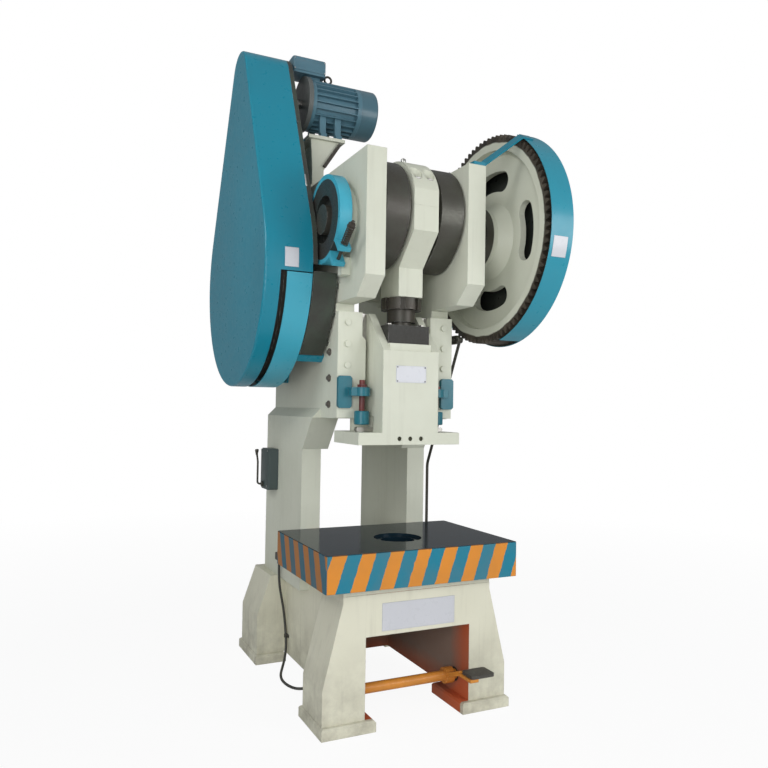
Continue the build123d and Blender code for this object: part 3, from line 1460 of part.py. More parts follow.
def make_rod_guide():
    """The bracket on the right side wall that guides the pull rod."""
    x = pull_rod_x + rod_offset
    radius = 2.2 * pull_rod_radius
    top_z = rod_guide_z + bracket_thickness
    guide = block(leg_inner_x + wall_thickness, x, pull_rod_y - radius, pull_rod_y + radius,
                  rod_guide_z, top_z)
    guide += bar_z(radius, x, pull_rod_y, rod_guide_z, top_z)
    guide += block(leg_inner_x + wall_thickness, leg_inner_x + wall_thickness + bracket_thickness,
                   pull_rod_y - radius, pull_rod_y + radius, rod_guide_z - bracket_width, top_z)
    return guide - bar_z(pull_rod_radius + slide_gap, x, pull_rod_y, rod_guide_z, top_z)


def make_lever_box():
    """The switch box on the left column, with its handle."""
    box = block(-column_outer_x - box_depth, -column_outer_x, box_front_y, box_back_y,
                box_low_z, box_high_z)
    box = fillet(box.edges().filter_by(Axis.X), bolster_corner)
    box = chamfer(box.edges().group_by(Axis.X)[0], 4)
    pivot_y = (box_front_y + box_back_y) / 2
    pivot_z = box_low_z + handle_length / 6
    face_x = -column_outer_x - box_depth
    box += bar_x(2 * handle_radius, face_x - handle_radius, face_x, pivot_y, pivot_z)
    x = face_x - 2 * handle_radius - fit_gap
    handle = bar_x(2 * handle_radius, x - handle_radius / 2, face_x - handle_radius - fit_gap,
                   pivot_y, pivot_z)
    handle += bar_z(handle_radius, x, pivot_y, pivot_z, pivot_z + handle_length)
    handle += Pos(x, pivot_y, pivot_z + handle_length) * Sphere(handle_knob_radius)
    return box, handle


def make_conduit():
    """The flexible conduit: straight runs joined by arcs as large as the runs allow."""
    points = [Vector(*point) for point in conduit_route]
    radii = []
    for before, point, after in zip(points, points[1:], points[2:]):
        turn = radians((point - before).get_angle(after - point))
        shorter = min((point - before).length, (after - point).length)
        radii.append(conduit_arc_share * shorter / tan(turn / 2))
    print("conduit radii", [round(radius) for radius in radii])
    path = FilletPolyline(*points, radius=radii)
    print("conduit length", round(path.length))
    return sweep(Plane(origin=path @ 0, z_dir=path % 0) * Circle(conduit_radius), path=path)


def make_conduit_fittings():
    """The two small boxes with nozzles that the conduit's ends go into."""
    x, y, z = conduit_route[0]
    half = conduit_box_height / 2
    top_z = z + conduit_nozzle_length + conduit_box_height
    high = block(-column_outer_x - conduit_box_depth, -column_outer_x, y - half, y + half,
                 z + conduit_nozzle_length, top_z)
    high = chamfer(high.edges().group_by(Axis.X)[0], 3)
    high += bar_z(conduit_nozzle_radius, x, y, z, z + conduit_nozzle_length)
    x, y, z = conduit_route[-1]
    low = block(x - half, -leg_inner_x - wall_thickness, y - conduit_nozzle_length - conduit_box_height,
                y - conduit_nozzle_length, z - half, z + half)
    low = chamfer(low.edges().group_by(Axis.X)[0], 3)
    low += bar_y(conduit_nozzle_radius, x, y - conduit_nozzle_length, y, z)
    return [high, low]


def pair(shape):
    """The same piece on both sides of the press."""
    return group([shape, mirrored(shape)])


side_frame = make_side_frame()
rear_web, head_tie_plate, column_tie = make_ties()
save("side_frame_right", side_frame)
save("side_frame_left", mirrored(side_frame))
save("base_frame", make_base())
save("bolster", make_bolster())
save("rear_web", rear_web)
save("tie_plates", group([head_tie_plate, column_tie]))
save("main_bushes", pair(make_main_bush()))
save("backshaft_bushes", pair(make_backshaft_bush()))

connecting_rod, rod_cap, rod_cap_bolts = make_connecting_rod()
save("crankshaft", make_crankshaft())
save("clutch_collar", make_clutch_collar())
save("crank_end_cap", make_crank_end_cap())
save("connecting_rod", connecting_rod)
save("rod_cap", rod_cap)
save("rod_cap_bolts", rod_cap_bolts)
save("crankpin_bush", make_pin_bush())
save("adjusting_screw", make_adjusting_screw())
save("lock_ring", make_lock_ring())

ball_cap, ball_cap_bolts = make_ball_cap()
save("ram", make_ram())
save("ball_cap", ball_cap)
save("ram_screws", group([ball_cap_bolts, make_clamp_screws()]))
save("knockout_bar", make_knockout_bar())

gib, keeper = make_gib()
stop_bracket, stop_screw, stop_head = make_knockout_stop()
save("gibs", pair(gib))
save("gib_keepers", pair(keeper))
save("gib_bolts", pair(make_gib_bolts()))
save("stop_brackets", pair(stop_bracket))
save("stop_screws", pair(stop_screw))
save("stop_heads", pair(stop_head))

drive_gear, gear_bush = make_gear()
back_shaft, flywheel_nut = make_back_shaft()
save("drive_gear", drive_gear)
save("gear_bush", gear_bush)
save("pinion", make_pinion())
save("back_shaft", back_shaft)
save("flywheel", make_flywheel())
save("flywheel_nut", flywheel_nut)
save("motor_pulley", make_motor_pulley())
save("drive_belts", make_belts())

guard_cover, guard_band = make_belt_guard()
save("belt_guard_cover", guard_cover)
save("belt_guard_band", guard_band)
save("guard_brackets", group(make_guard_brackets() + make_gear_guard_straps()))
save("flywheel_shield", group([make_flywheel_shield(), make_guard_rim()]))
save("gear_guard", make_gear_guard())

motor_body, motor_flange, motor_cowl, motor_shaft, motor_fan = make_motor()
terminal_box, lifting_eye = make_terminal_box()
motor_bracket, motor_brace = make_motor_bracket()
save("motor_body", motor_body)
save("motor_flange", motor_flange)
save("motor_cowl", motor_cowl)
save("motor_rotor", group([motor_shaft, motor_fan]))
save("terminal_box", terminal_box)
save("motor_bracket", motor_bracket)
save("motor_fittings", group([lifting_eye, motor_brace]))

brake_drum, brake_band, brake_bolt, brake_spring, brake_anchor = make_brake()
save("brake_drum", brake_drum)
save("brake_band", brake_band)
save("brake_bolt", group([brake_bolt, brake_spring]))
save("brake_anchor", brake_anchor)

treadle, treadle_pad = make_treadle()
clutch_lever, clutch_pivot = make_clutch_lever()
lever_box, lever_handle = make_lever_box()
save("treadle", treadle)
save("treadle_pad", treadle_pad)
save("pull_rod", make_pull_rod())
save("clutch_lever", clutch_lever)
save("linkage_bearings", group(make_treadle_bearings() + [clutch_pivot, make_rod_guide()]))
save("lever_box", lever_box)
save("lever_handle", lever_handle)
save("conduit", make_conduit())
save("conduit_fittings", group(make_conduit_fittings()))
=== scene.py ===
"""The open-back stamping press as it looks: paint, grease, plates, screws, stripes and light.

Metres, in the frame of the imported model. X runs to the right of someone who stands before the
press, Y to its back and Z up.
"""

from math import atan2, cos, pi, radians, sin

import bpy
from mathutils import Matrix, Vector


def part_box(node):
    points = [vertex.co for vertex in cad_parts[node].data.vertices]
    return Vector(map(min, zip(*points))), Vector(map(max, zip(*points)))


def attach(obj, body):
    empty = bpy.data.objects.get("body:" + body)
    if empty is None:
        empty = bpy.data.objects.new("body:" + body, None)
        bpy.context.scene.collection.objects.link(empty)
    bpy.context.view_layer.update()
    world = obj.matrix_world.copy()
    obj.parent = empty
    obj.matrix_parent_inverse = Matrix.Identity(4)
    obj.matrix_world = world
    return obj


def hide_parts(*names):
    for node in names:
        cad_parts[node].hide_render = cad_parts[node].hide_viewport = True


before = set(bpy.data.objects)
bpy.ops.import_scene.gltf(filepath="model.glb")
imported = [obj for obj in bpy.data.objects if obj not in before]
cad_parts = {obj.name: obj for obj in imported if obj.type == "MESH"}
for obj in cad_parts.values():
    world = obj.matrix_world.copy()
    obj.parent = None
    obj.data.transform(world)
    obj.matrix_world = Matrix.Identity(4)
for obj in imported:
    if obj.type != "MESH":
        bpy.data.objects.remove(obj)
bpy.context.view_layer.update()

# Camera
camera_place = (-1.641, -3.273, 1.444)
camera_turn = -0.448
camera_tilt = 0.030
camera_roll = 0.016
camera_lens = 34.352

# Light
front_light = 0.41
back_light = 0.18
left_light = 0.26
top_light = 0.42
key_power = 100
side_power = 95
fill_power = 7
mirror_share = 0.08

# Paints and metals
cream = (0.69, 0.71, 0.60)
cream_shade = (0.53, 0.54, 0.43)
# The base's cream is a lighter copy of the frame's cream, painted light for its low faces
lit_base_cream = (0.78, 0.765, 0.62)
lit_base_cream_shade = (0.61, 0.60, 0.46)
teal = (0.006, 0.235, 0.335)
teal_shade = (0.016, 0.175, 0.25)
# A lighter copy of the teal for the guard's lower band and the brake band: painted highlight
highlit_teal = (0.060, 0.41, 0.55)
highlit_teal_shade = (0.045, 0.30, 0.41)
# A lighter copy of the teal for the gear's guard: painted light
lit_rim_teal = (0.025, 0.30, 0.41)
lit_rim_teal_shade = (0.020, 0.22, 0.31)
stop_teal = (0.018, 0.165, 0.215)
stop_teal_shade = (0.014, 0.115, 0.155)
stripe_orange = (0.74, 0.28, 0.045)
stripe_teal = (0.022, 0.22, 0.32)
# Dark tint laid over the stripes on the bolster's end faces: painted shade
end_face_shade = (0.05, 0.03, 0.04)
stripe_stain = (0.25, 0.16, 0.08)
oxide = (0.55, 0.13, 0.05)
cavity_brown = (0.30, 0.215, 0.17)
motor_blue = (0.092, 0.205, 0.265)
motor_shade = (0.045, 0.085, 0.115)
cowl_blue = (0.072, 0.155, 0.20)
cowl_shade = (0.07, 0.16, 0.20)
# The motor flange's dark colour is painted shade for its left face
shaded_flange_dark = (0.12, 0.13, 0.125)
flange_shade = (0.07, 0.08, 0.08)
box_grey = (0.070, 0.095, 0.095)
box_shade = (0.045, 0.055, 0.055)
treadle_orange = (0.84, 0.33, 0.040)
treadle_shade = (0.42, 0.15, 0.035)
plate_white = (0.64, 0.65, 0.69)
plate_shade = (0.55, 0.57, 0.62)
primer = (0.17, 0.15, 0.13)
bare_sheet = (0.30, 0.34, 0.34)
bare_flange = (0.42, 0.43, 0.40)
bare_plate = (0.45, 0.46, 0.46)
dirt_brown = (0.14, 0.115, 0.085)
oil_brown = (0.16, 0.13, 0.10)
dust_grey = (0.16, 0.15, 0.13)
cheek_grey = (0.080, 0.080, 0.066)
cheek_brown = (0.055, 0.050, 0.040)
drum_green = (0.038, 0.055, 0.050)
drum_brown = (0.045, 0.040, 0.036)
dark_iron = (0.055, 0.056, 0.046)
grease_brown = (0.050, 0.042, 0.032)
cap_black = (0.034, 0.034, 0.030)
cap_brown = (0.024, 0.022, 0.018)
# Near-black colours for the sheet between the belt guard and the frame: painted shade for that gap
shade_sheet_green = (0.052, 0.066, 0.050)
shade_sheet_brown = (0.040, 0.040, 0.034)
guard_inside_dark = (0.030, 0.034, 0.030)
red_brown = (0.20, 0.045, 0.040)
red_shade = (0.11, 0.028, 0.028)
teeth_black = (0.030, 0.026, 0.020)
teeth_brown = (0.085, 0.070, 0.052)
top_blue = (0.007, 0.020, 0.031)
top_grey = (0.012, 0.024, 0.033)
bright_steel = (0.52, 0.52, 0.50)
bolt_steel = (0.34, 0.34, 0.32)
bolt_black = (0.045, 0.045, 0.032)
bolt_brown = (0.11, 0.10, 0.085)
zinc = (0.62, 0.62, 0.60)
bronze = (0.50, 0.31, 0.12)
rubber_black = (0.030, 0.030, 0.028)
pad_grey = (0.060, 0.056, 0.048)
conduit_black = (0.045, 0.045, 0.040)

# Places taken from the press
crank_line = (0, -0.040, 2.320)
backshaft_line = (0, 0.57636, 2.120)
motor_line = (0, 0.550, 3.105)
teeth_from = 0.502
cavity_side = 0.2706
cavity_front = -0.2765
cavity_back = 0.6005
cavity_top = 0.6005
bolster_front = -0.349
bolster_left = -0.4925
bolster_middle_z = 0.718
slug_hole_edge = 0.125
stripe_pitch = 0.139
stripe_lean = 0.33
guard_radius = 0.585
gear_guard_radius = 0.552
guard_plate_x = 0.616
guard_wall = 0.0025
guard_clip_x = -0.452
flange_bolt_top = 1.33
keeper_bolt_back = 0.041
handle_pivot = (0.8325, 0.98767)
handle_x = -0.462
lever_box_boss = 0.009

# How far from a corner the paint is rubbed through and the corner looks round
cast_reach = 0.0045
sheet_reach = 0.0012
corner_reach = 0.003

# The conduit's route, from the upper nozzle to the lower one
conduit_route = [
    (-0.381, 0.652, 0.575),
    (-0.381, 0.652, 0.505),
    (-0.371, 0.668, 0.437),
    (-0.352, 0.690, 0.370),
    (-0.335, 0.701, 0.300),
    (-0.325, 0.700, 0.226),
    (-0.322, 0.688, 0.152),
    (-0.327, 0.664, 0.087),
    (-0.347, 0.628, 0.039),
    (-0.377, 0.576, 0.013),
    (-0.406, 0.511, 0.008),
    (-0.424, 0.440, 0.008),
    (-0.424, 0.368, 0.008),
    (-0.410, 0.300, 0.011),
    (-0.397, 0.232, 0.027),
    (-0.390, 0.164, 0.055),
    (-0.384, 0.094, 0.084),
    (-0.367, 0.024, 0.103),
    (-0.345, -0.041, 0.110),
    (-0.340, -0.106, 0.110),
    (-0.340, -0.156, 0.110),
]
conduit_radius = 0.007


def add(tree, kind, values=None, **settings):
    """One shader node, with its settings and with values or sockets on its inputs."""
    node = tree.nodes.new("ShaderNode" + kind)
    for key, value in settings.items():
        setattr(node, key, value)
    for key, value in (values or {}).items():
        if isinstance(value, bpy.types.NodeSocket):
            tree.links.new(value, node.inputs[key])
        else:
            node.inputs[key].default_value = value
    return node


def start_group(name, inputs, outputs):
    """An empty shader node group with named inputs and outputs."""
    tree = bpy.data.node_groups.new(name, "ShaderNodeTree")
    for label, kind, value in inputs:
        socket = tree.interface.new_socket(label, in_out="INPUT", socket_type="NodeSocket" + kind)
        socket.default_value = value
    for label, kind in outputs:
        tree.interface.new_socket(label, in_out="OUTPUT", socket_type="NodeSocket" + kind)
    return tree, tree.nodes.new("NodeGroupInput"), tree.nodes.new("NodeGroupOutput")


def noise(tree, scale, detail=3.0, roughness=0.5, stretch=(1, 1, 1)):
    """Noise on the piece's own coordinates, stretched along an axis by a small value there."""
    place = add(tree, "TexCoord")
    turned = add(tree, "Mapping", {"Vector": place.outputs["Object"], "Scale": stretch})
    return add(tree, "TexNoise", {"Vector": turned.outputs[0], "Scale": scale,
                                  "Detail": detail, "Roughness": roughness}).outputs["Fac"]


def spread(tree, value, low, high, start=0.0, end=1.0):
    """A value mapped from one range to another, held inside the second."""
    return add(tree, "MapRange", {"Value": value, "From Min": low, "From Max": high,
                                  "To Min": start, "To Max": end}).outputs[0]


def calc(tree, operation, first, second=0.0, third=0.0):
    """One sum, product or other operation."""
    return add(tree, "Math", {0: first, 1: second, 2: third}, operation=operation).outputs[0]


def blend(tree, factor, first, second):
    """One value or another, or part of each."""
    return add(tree, "Mix", {"Factor": factor, "A": first, "B": second}).outputs[0]


def uneven_tone_group():
    """Broad and fine patches for colour and gloss."""
    tree, given, result = start_group(
        "uneven_tone", [("Scale", "Float", 1.0)], [("Broad", "Float"), ("Fine", "Float")])
    broad = noise(tree, calc(tree, "MULTIPLY", given.outputs["Scale"], 1.6), 4.0, 0.55)
    fine = noise(tree, calc(tree, "MULTIPLY", given.outputs["Scale"], 22.0), 5.0, 0.65)
    tree.links.new(spread(tree, broad, 0.36, 0.64), result.inputs["Broad"])
    tree.links.new(spread(tree, fine, 0.3, 0.7), result.inputs["Fine"])
    return tree


def cast_skin_group():
    """The height of enamel over a sand casting: low waves with a fine skin on them."""
    tree, given, result = start_group(
        "cast_skin", [("Grain", "Float", 1.0)], [("Height", "Float")])
    waves = noise(tree, 14.0, 2.0, 0.45)
    skin = noise(tree, calc(tree, "MULTIPLY", given.outputs["Grain"], 260.0), 4.0, 0.6)
    tree.links.new(calc(tree, "MULTIPLY_ADD", skin, 0.22, waves), result.inputs["Height"])
    return tree


def edge_wear_group():
    """Where edges are rubbed: narrow, broken and stronger on sharp corners."""
    tree, given, result = start_group(
        "edge_wear", [("Amount", "Float", 0.5), ("Reach", "Float", cast_reach)],
        [("Mask", "Float")])
    rounded = add(tree, "Bevel", {"Radius": given.outputs["Reach"]}, samples=6)
    flat = add(tree, "NewGeometry")
    dot = add(tree, "VectorMath", {0: rounded.outputs[0], 1: flat.outputs["Normal"]},
              operation="DOT_PRODUCT").outputs["Value"]
    edge = spread(tree, dot, 0.985, 0.80)
    chips = spread(tree, noise(tree, 38.0, 6.0, 0.7), 0.46, 0.62)
    worn = calc(tree, "MULTIPLY", edge, chips)
    tree.links.new(calc(tree, "MULTIPLY", worn, given.outputs["Amount"]), result.inputs["Mask"])
    return tree


def grime_group():
    """Dirt that gathers low down and runs in faint streaks."""
    tree, given, result = start_group(
        "grime", [("Top", "Float", 0.5), ("Streaks", "Float", 0.5)], [("Mask", "Float")])
    place = add(tree, "TexCoord")
    height = add(tree, "SeparateXYZ", {0: place.outputs["Object"]}).outputs["Z"]
    low = add(tree, "MapRange", {"Value": height, "From Min": given.outputs["Top"],
                                 "From Max": 0.0}).outputs[0]
    cloud = spread(tree, noise(tree, 9.0, 5.0, 0.65), 0.35, 0.7)
    streak = spread(tree, noise(tree, 30.0, 3.0, 0.6, (1, 1, 0.06)), 0.55, 0.75)
    run = calc(tree, "MULTIPLY", streak, given.outputs["Streaks"])
    tree.links.new(calc(tree, "MULTIPLY_ADD", low, cloud, run), result.inputs["Mask"])
    return tree


def machining_group():
    """Rings left by turning about X, or a straight grain where Rings is 0."""
    tree, given, result = start_group(
        "machining", [("Centre", "Vector", (0, 0, 0)), ("Rings", "Float", 1.0)],
        [("Height", "Float")])
    place = add(tree, "TexCoord").outputs["Object"]
    offset = add(tree, "VectorMath", {0: place, 1: given.outputs["Centre"]},
                 operation="SUBTRACT").outputs[0]
    flat = add(tree, "VectorMath", {0: offset, 1: (0, 1, 1)}, operation="MULTIPLY").outputs[0]
    radius = add(tree, "VectorMath", {0: flat}, operation="LENGTH").outputs["Value"]
    rings = add(tree, "TexNoise", {"W": calc(tree, "MULTIPLY", radius, 900.0), "Scale": 1.0,
                                   "Detail": 2.0}, noise_dimensions="1D").outputs["Fac"]
    grain = noise(tree, 120.0, 3.0, 0.6, (0.05, 1, 1))
    tree.links.new(blend(tree, given.outputs["Rings"], grain, rings), result.inputs["Height"])
    return tree


tone_tree = uneven_tone_group()
skin_tree = cast_skin_group()
wear_tree = edge_wear_group()
grime_tree = grime_group()
machining_tree = machining_group()


def put(tree, group, **values):
    """A shared effect placed in a material with this material's own values."""
    node = add(tree, "Group", node_tree=group)
    for label, value in values.items():
        node.inputs[label].default_value = value
    return node.outputs


def mix(tree, factor, first, second):
    """One colour over another, by a mask."""
    node = add(tree, "Mix", {"Factor": factor}, data_type="RGBA")
    for index, colour in ((6, first), (7, second)):
        if isinstance(colour, bpy.types.NodeSocket):
            tree.links.new(colour, node.inputs[index])
        else:
            node.inputs[index].default_value = (*colour, 1.0)
    return node.outputs[2]


def new_material(name):
    """A material with its shader and its node tree."""
    material = bpy.data.materials.new(name)
    material.use_nodes = True
    return material, material.node_tree, material.node_tree.nodes["Principled BSDF"]


def reopen(material):
    """A material's node tree, its shader and the colour that it has so far."""
    tree = material.node_tree
    shader = tree.nodes["Principled BSDF"]
    return tree, shader, shader.inputs["Base Color"].links[0].from_socket


def rounded_bump(tree, shader, height, depth, reach=corner_reach):
    """Surface relief on normals that turn smoothly over the edges."""
    rounded = add(tree, "Bevel", {"Radius": reach}, samples=6)
    bump = add(tree, "Bump", {"Height": height, "Distance": depth, "Strength": 1.0,
                              "Normal": rounded.outputs[0]})
    tree.links.new(bump.outputs[0], shader.inputs["Normal"])


def enamel(name, colour, shade, gloss=0.36, relief=0.0005, wear=0.35, dirt=0.3, grain=1.0,
           under=primer, coat=0.15, reach=cast_reach):
    """Brushed-on enamel over cast or plate iron, rubbed at its edges and grimy low down."""
    material, tree, shader = new_material(name)
    tone = put(tree, tone_tree, Scale=1.3)
    skin = put(tree, skin_tree, Grain=grain)
    worn = put(tree, wear_tree, Amount=wear, Reach=reach)["Mask"]
    grime = put(tree, grime_tree, Top=0.42, Streaks=0.22)["Mask"]
    paint = mix(tree, spread(tree, tone["Broad"], 0, 1, 0.0, 0.30), colour, shade)
    specks = spread(tree, tone["Fine"], 0.55, 1.0, 0.0, 0.05)
    paint = mix(tree, specks, paint, shade)
    dirty = mix(tree, spread(tree, grime, 0, 1, 0.0, dirt), paint, dirt_brown)
    tree.links.new(mix(tree, worn, dirty, under), shader.inputs["Base Color"])
    rough = spread(tree, tone["Fine"], 0, 1, gloss - 0.05, gloss + 0.09)
    rough = calc(tree, "MULTIPLY_ADD", grime, 0.18, rough)
    tree.links.new(calc(tree, "MULTIPLY_ADD", worn, 0.25, rough), shader.inputs["Roughness"])
    shader.inputs["Coat Roughness"].default_value = 0.12
    shader.inputs["Specular IOR Level"].default_value = 0.35
    clear = spread(tree, calc(tree, "ADD", worn, grime), 0.0, 1.0, coat, 0.0)
    tree.links.new(clear, shader.inputs["Coat Weight"])
    rounded_bump(tree, shader, skin["Height"], relief, min(reach, corner_reach))
    return material


def sheet_enamel(name, colour, shade):
    """Thin glossy enamel on sheet steel, rubbed only at its very edge."""
    return enamel(name, colour, shade, gloss=0.30, relief=0.0002, wear=0.25, dirt=0.15, grain=0.5,
                  under=bare_sheet, coat=0.15, reach=sheet_reach)


def parts_of_place(tree):
    """X, Y and Z of a point on the piece."""
    return add(tree, "SeparateXYZ", {0: add(tree, "TexCoord").outputs["Object"]}).outputs


def distance_in(tree, first, second, middle):
    """How far a point is from a line, given its two coordinates across that line."""
    across = calc(tree, "SUBTRACT", first, middle[0])
    up = calc(tree, "SUBTRACT", second, middle[1])
    squares = calc(tree, "MULTIPLY_ADD", up, up, calc(tree, "MULTIPLY", across, across))
    return calc(tree, "SQRT", squares)


def base_casting():
    """The base's enamel, with red oxide and dark dirt left inside the portal."""
    # The lighter base cream is painted light that lifts the base's low faces
    material = enamel("base_casting", lit_base_cream, lit_base_cream_shade, gloss=0.48, dirt=0.5, coat=0.05)
    tree, shader, outside = reopen(material)
    place = parts_of_place(tree)
    within = calc(tree, "LESS_THAN", calc(tree, "ABSOLUTE", place["X"]), cavity_side)
    behind = calc(tree, "GREATER_THAN", place["Y"], cavity_front)
    before = calc(tree, "LESS_THAN", place["Y"], cavity_back)
    under = calc(tree, "LESS_THAN", place["Z"], cavity_top)
    inside = calc(tree, "MULTIPLY", calc(tree, "MULTIPLY", within, behind),
                  calc(tree, "MULTIPLY", before, under))
    cloud = put(tree, tone_tree, Scale=3.0)["Broad"]
    depth = spread(tree, place["Y"], -0.225, -0.10)
    low = spread(tree, place["Z"], 0.16, 0.04)
    brown = calc(tree, "SUBTRACT", calc(tree, "MULTIPLY_ADD", cloud, 0.25, depth), low)
    stained = mix(tree, spread(tree, brown, 0, 1), oxide, cavity_brown)
    tree.links.new(mix(tree, inside, outside, stained), shader.inputs["Base Color"])
    return material


def gear_casting():
    """Cream enamel on the gear's web and rim, black grease on its teeth."""
    material = enamel("gear_casting", cream, cream_shade, gloss=0.48, dirt=0.0, coat=0.05)
    tree, shader, outside = reopen(material)
    place = parts_of_place(tree)
    radius = distance_in(tree, place["Y"], place["Z"], crank_line[1:])
    cloud = put(tree, tone_tree, Scale=6.0)["Broad"]
    ragged = calc(tree, "MULTIPLY_ADD", cloud, 0.006, radius)
    teeth = spread(tree, ragged, teeth_from, teeth_from + 0.006)
    grease = mix(tree, cloud, teeth_black, teeth_brown)
    tree.links.new(mix(tree, teeth, outside, grease), shader.inputs["Base Color"])
    return material


def gear_guard_enamel():
    """Teal enamel painted lighter outside the gear's guard, a painted highlight, and a dark colour
    on its inner faces.
    """
    material = sheet_enamel("gear_guard_enamel", lit_rim_teal, lit_rim_teal_shade)
    tree, shader, outside = reopen(material)
    place = parts_of_place(tree)
    radius = distance_in(tree, place["Y"], place["Z"], crank_line[1:])
    under = calc(tree, "LESS_THAN", radius, gear_guard_radius - guard_wall)
    behind = calc(tree, "LESS_THAN", place["X"], guard_plate_x - guard_wall)
    inner = calc(tree, "MULTIPLY", under, behind)
    tree.links.new(mix(tree, inner, outside, guard_inside_dark), shader.inputs["Base Color"])
    return material


def bolster_finish():
    """Hand-painted slanting stripes on the bolster's edges and a dark oiled top."""
    material, tree, shader = new_material("bolster_finish")
    place = parts_of_place(tree)
    facing = add(tree, "SeparateXYZ", {0: add(tree, "NewGeometry").outputs["Normal"]}).outputs
    sideways = calc(tree, "GREATER_THAN", calc(tree, "ABSOLUTE", facing["X"]), 0.7)
    height = calc(tree, "SUBTRACT", place["Z"], bolster_middle_z)
    lean = calc(tree, "MULTIPLY", height, stripe_lean)
    wobble = spread(tree, noise(tree, 26.0, 3.0, 0.6), 0.3, 0.7, -0.003, 0.003)
    front = calc(tree, "SUBTRACT", place["X"], bolster_left)
    end = calc(tree, "SUBTRACT", place["Y"], bolster_front + stripe_pitch / 2)
    along = blend(tree, sideways, front, end)
    along = calc(tree, "SUBTRACT", calc(tree, "ADD", along, wobble), lean)
    phase = calc(tree, "ADD", calc(tree, "DIVIDE", along, stripe_pitch), 10.0)
    band = calc(tree, "GREATER_THAN", calc(tree, "FRACT", phase), 0.5)
    tone = put(tree, tone_tree, Scale=4.0)
    stripes = mix(tree, band, stripe_orange, stripe_teal)
    # The end faces' stripes are darkened by almost half: painted shade for the faces turned
    # sideways
    darker = mix(tree, calc(tree, "MULTIPLY", sideways, 0.45), stripes, end_face_shade)
    stripes = mix(tree, spread(tree, tone["Broad"], 0, 1, 0, 0.16), darker, stripe_stain)
    worn = put(tree, wear_tree, Amount=0.7)["Mask"]
    stripes = mix(tree, worn, stripes, primer)
    level = spread(tree, calc(tree, "ABSOLUTE", facing["Z"]), 0.5, 0.8)
    hole = distance_in(tree, place["X"], place["Y"], crank_line[:2])
    flat = calc(tree, "MAXIMUM", level, calc(tree, "LESS_THAN", hole, slug_hole_edge))
    oil = mix(tree, tone["Broad"], top_blue, top_grey)
    tree.links.new(mix(tree, flat, stripes, oil), shader.inputs["Base Color"])
    tree.links.new(calc(tree, "MULTIPLY", flat, 0.12), shader.inputs["Metallic"])
    shader.inputs["Specular IOR Level"].default_value = 0.1
    smear = spread(tree, tone["Fine"], 0, 1, 0.07, 0.20)
    tree.links.new(blend(tree, flat, 0.38, smear), shader.inputs["Roughness"])
    grain = put(tree, machining_tree, Rings=0.0)["Height"]
    rounded_bump(tree, shader, grain, 0.00006)
    return material


def greasy_iron(name, colour, stain, gloss=0.38, rings=0.0, centre=(0, 0, 0), bare=0.45):
    """Dark iron under a film of grease that has gone brown in patches."""
    material, tree, shader = new_material(name)
    tone = put(tree, tone_tree, Scale=5.0)
    marks = put(tree, machining_tree, Centre=centre, Rings=rings)["Height"]
    worn = put(tree, wear_tree, Amount=0.6)["Mask"]
    film = mix(tree, tone["Broad"], colour, stain)
    tree.links.new(mix(tree, worn, film, bright_steel), shader.inputs["Base Color"])
    tree.links.new(spread(tree, tone["Broad"], 0, 1, bare, bare * 0.4), shader.inputs["Metallic"])
    tree.links.new(spread(tree, tone["Fine"], 0, 1, gloss - 0.1, gloss + 0.14),
                   shader.inputs["Roughness"])
    rounded_bump(tree, shader, marks, 0.00025, 0.002)
    return material


def machined(name, colour, gloss=0.27, rings=1.0, centre=(0, 0, 0)):
    """Bright turned or ground metal with tool marks and oil stains."""
    material, tree, shader = new_material(name)
    tone = put(tree, tone_tree, Scale=7.0)
    marks = put(tree, machining_tree, Centre=centre, Rings=rings)["Height"]
    stained = mix(tree, spread(tree, tone["Broad"], 0, 1, 0.0, 0.45), colour, oil_brown)
    tree.links.new(stained, shader.inputs["Base Color"])
    shader.inputs["Metallic"].default_value = 1.0
    tree.links.new(spread(tree, tone["Fine"], 0, 1, gloss - 0.05, gloss + 0.13),
                   shader.inputs["Roughness"])
    rounded_bump(tree, shader, marks, 0.00015, 0.0015)
    return material


def ram_bolt_steel():
    """Steel bolts, black with grease where they sit low in the ram's flange."""
    material = machined("ram_bolt_steel", bolt_steel, gloss=0.32, rings=0.0)
    tree, shader, clean = reopen(material)
    low = calc(tree, "LESS_THAN", parts_of_place(tree)["Z"], flange_bolt_top)
    tree.links.new(mix(tree, low, clean, bolt_black), shader.inputs["Base Color"])
    return material


def gib_bolt_finish():
    """Keeper bolts painted over with the press, and side adjusting bolts left bare and dark."""
    material = enamel("gib_bolt_finish", cream, cream_shade, gloss=0.5, dirt=0.0, coat=0.0)
    tree, shader, painted = reopen(material)
    side = calc(tree, "GREATER_THAN", parts_of_place(tree)["Y"], keeper_bolt_back)
    tree.links.new(mix(tree, side, painted, bolt_brown), shader.inputs["Base Color"])
    return material


def rubber(name, colour, rough=0.62, dust=0.35):
    """Rubber with dust in its pores."""
    material, tree, shader = new_material(name)
    tone = put(tree, tone_tree, Scale=9.0)
    dusty = spread(tree, tone["Fine"], 0.35, 1.0, 0.0, dust)
    tree.links.new(mix(tree, dusty, colour, dust_grey), shader.inputs["Base Color"])
    tree.links.new(spread(tree, tone["Broad"], 0, 1, rough - 0.12, rough + 0.1),
                   shader.inputs["Roughness"])
    skin = put(tree, skin_tree, Grain=1.6)["Height"]
    rounded_bump(tree, shader, skin, 0.0003, 0.0015)
    return material


cream_enamel = enamel("cream_enamel", cream, cream_shade, gloss=0.48, coat=0.05)
teal_enamel = sheet_enamel("teal_enamel", teal, teal_shade)
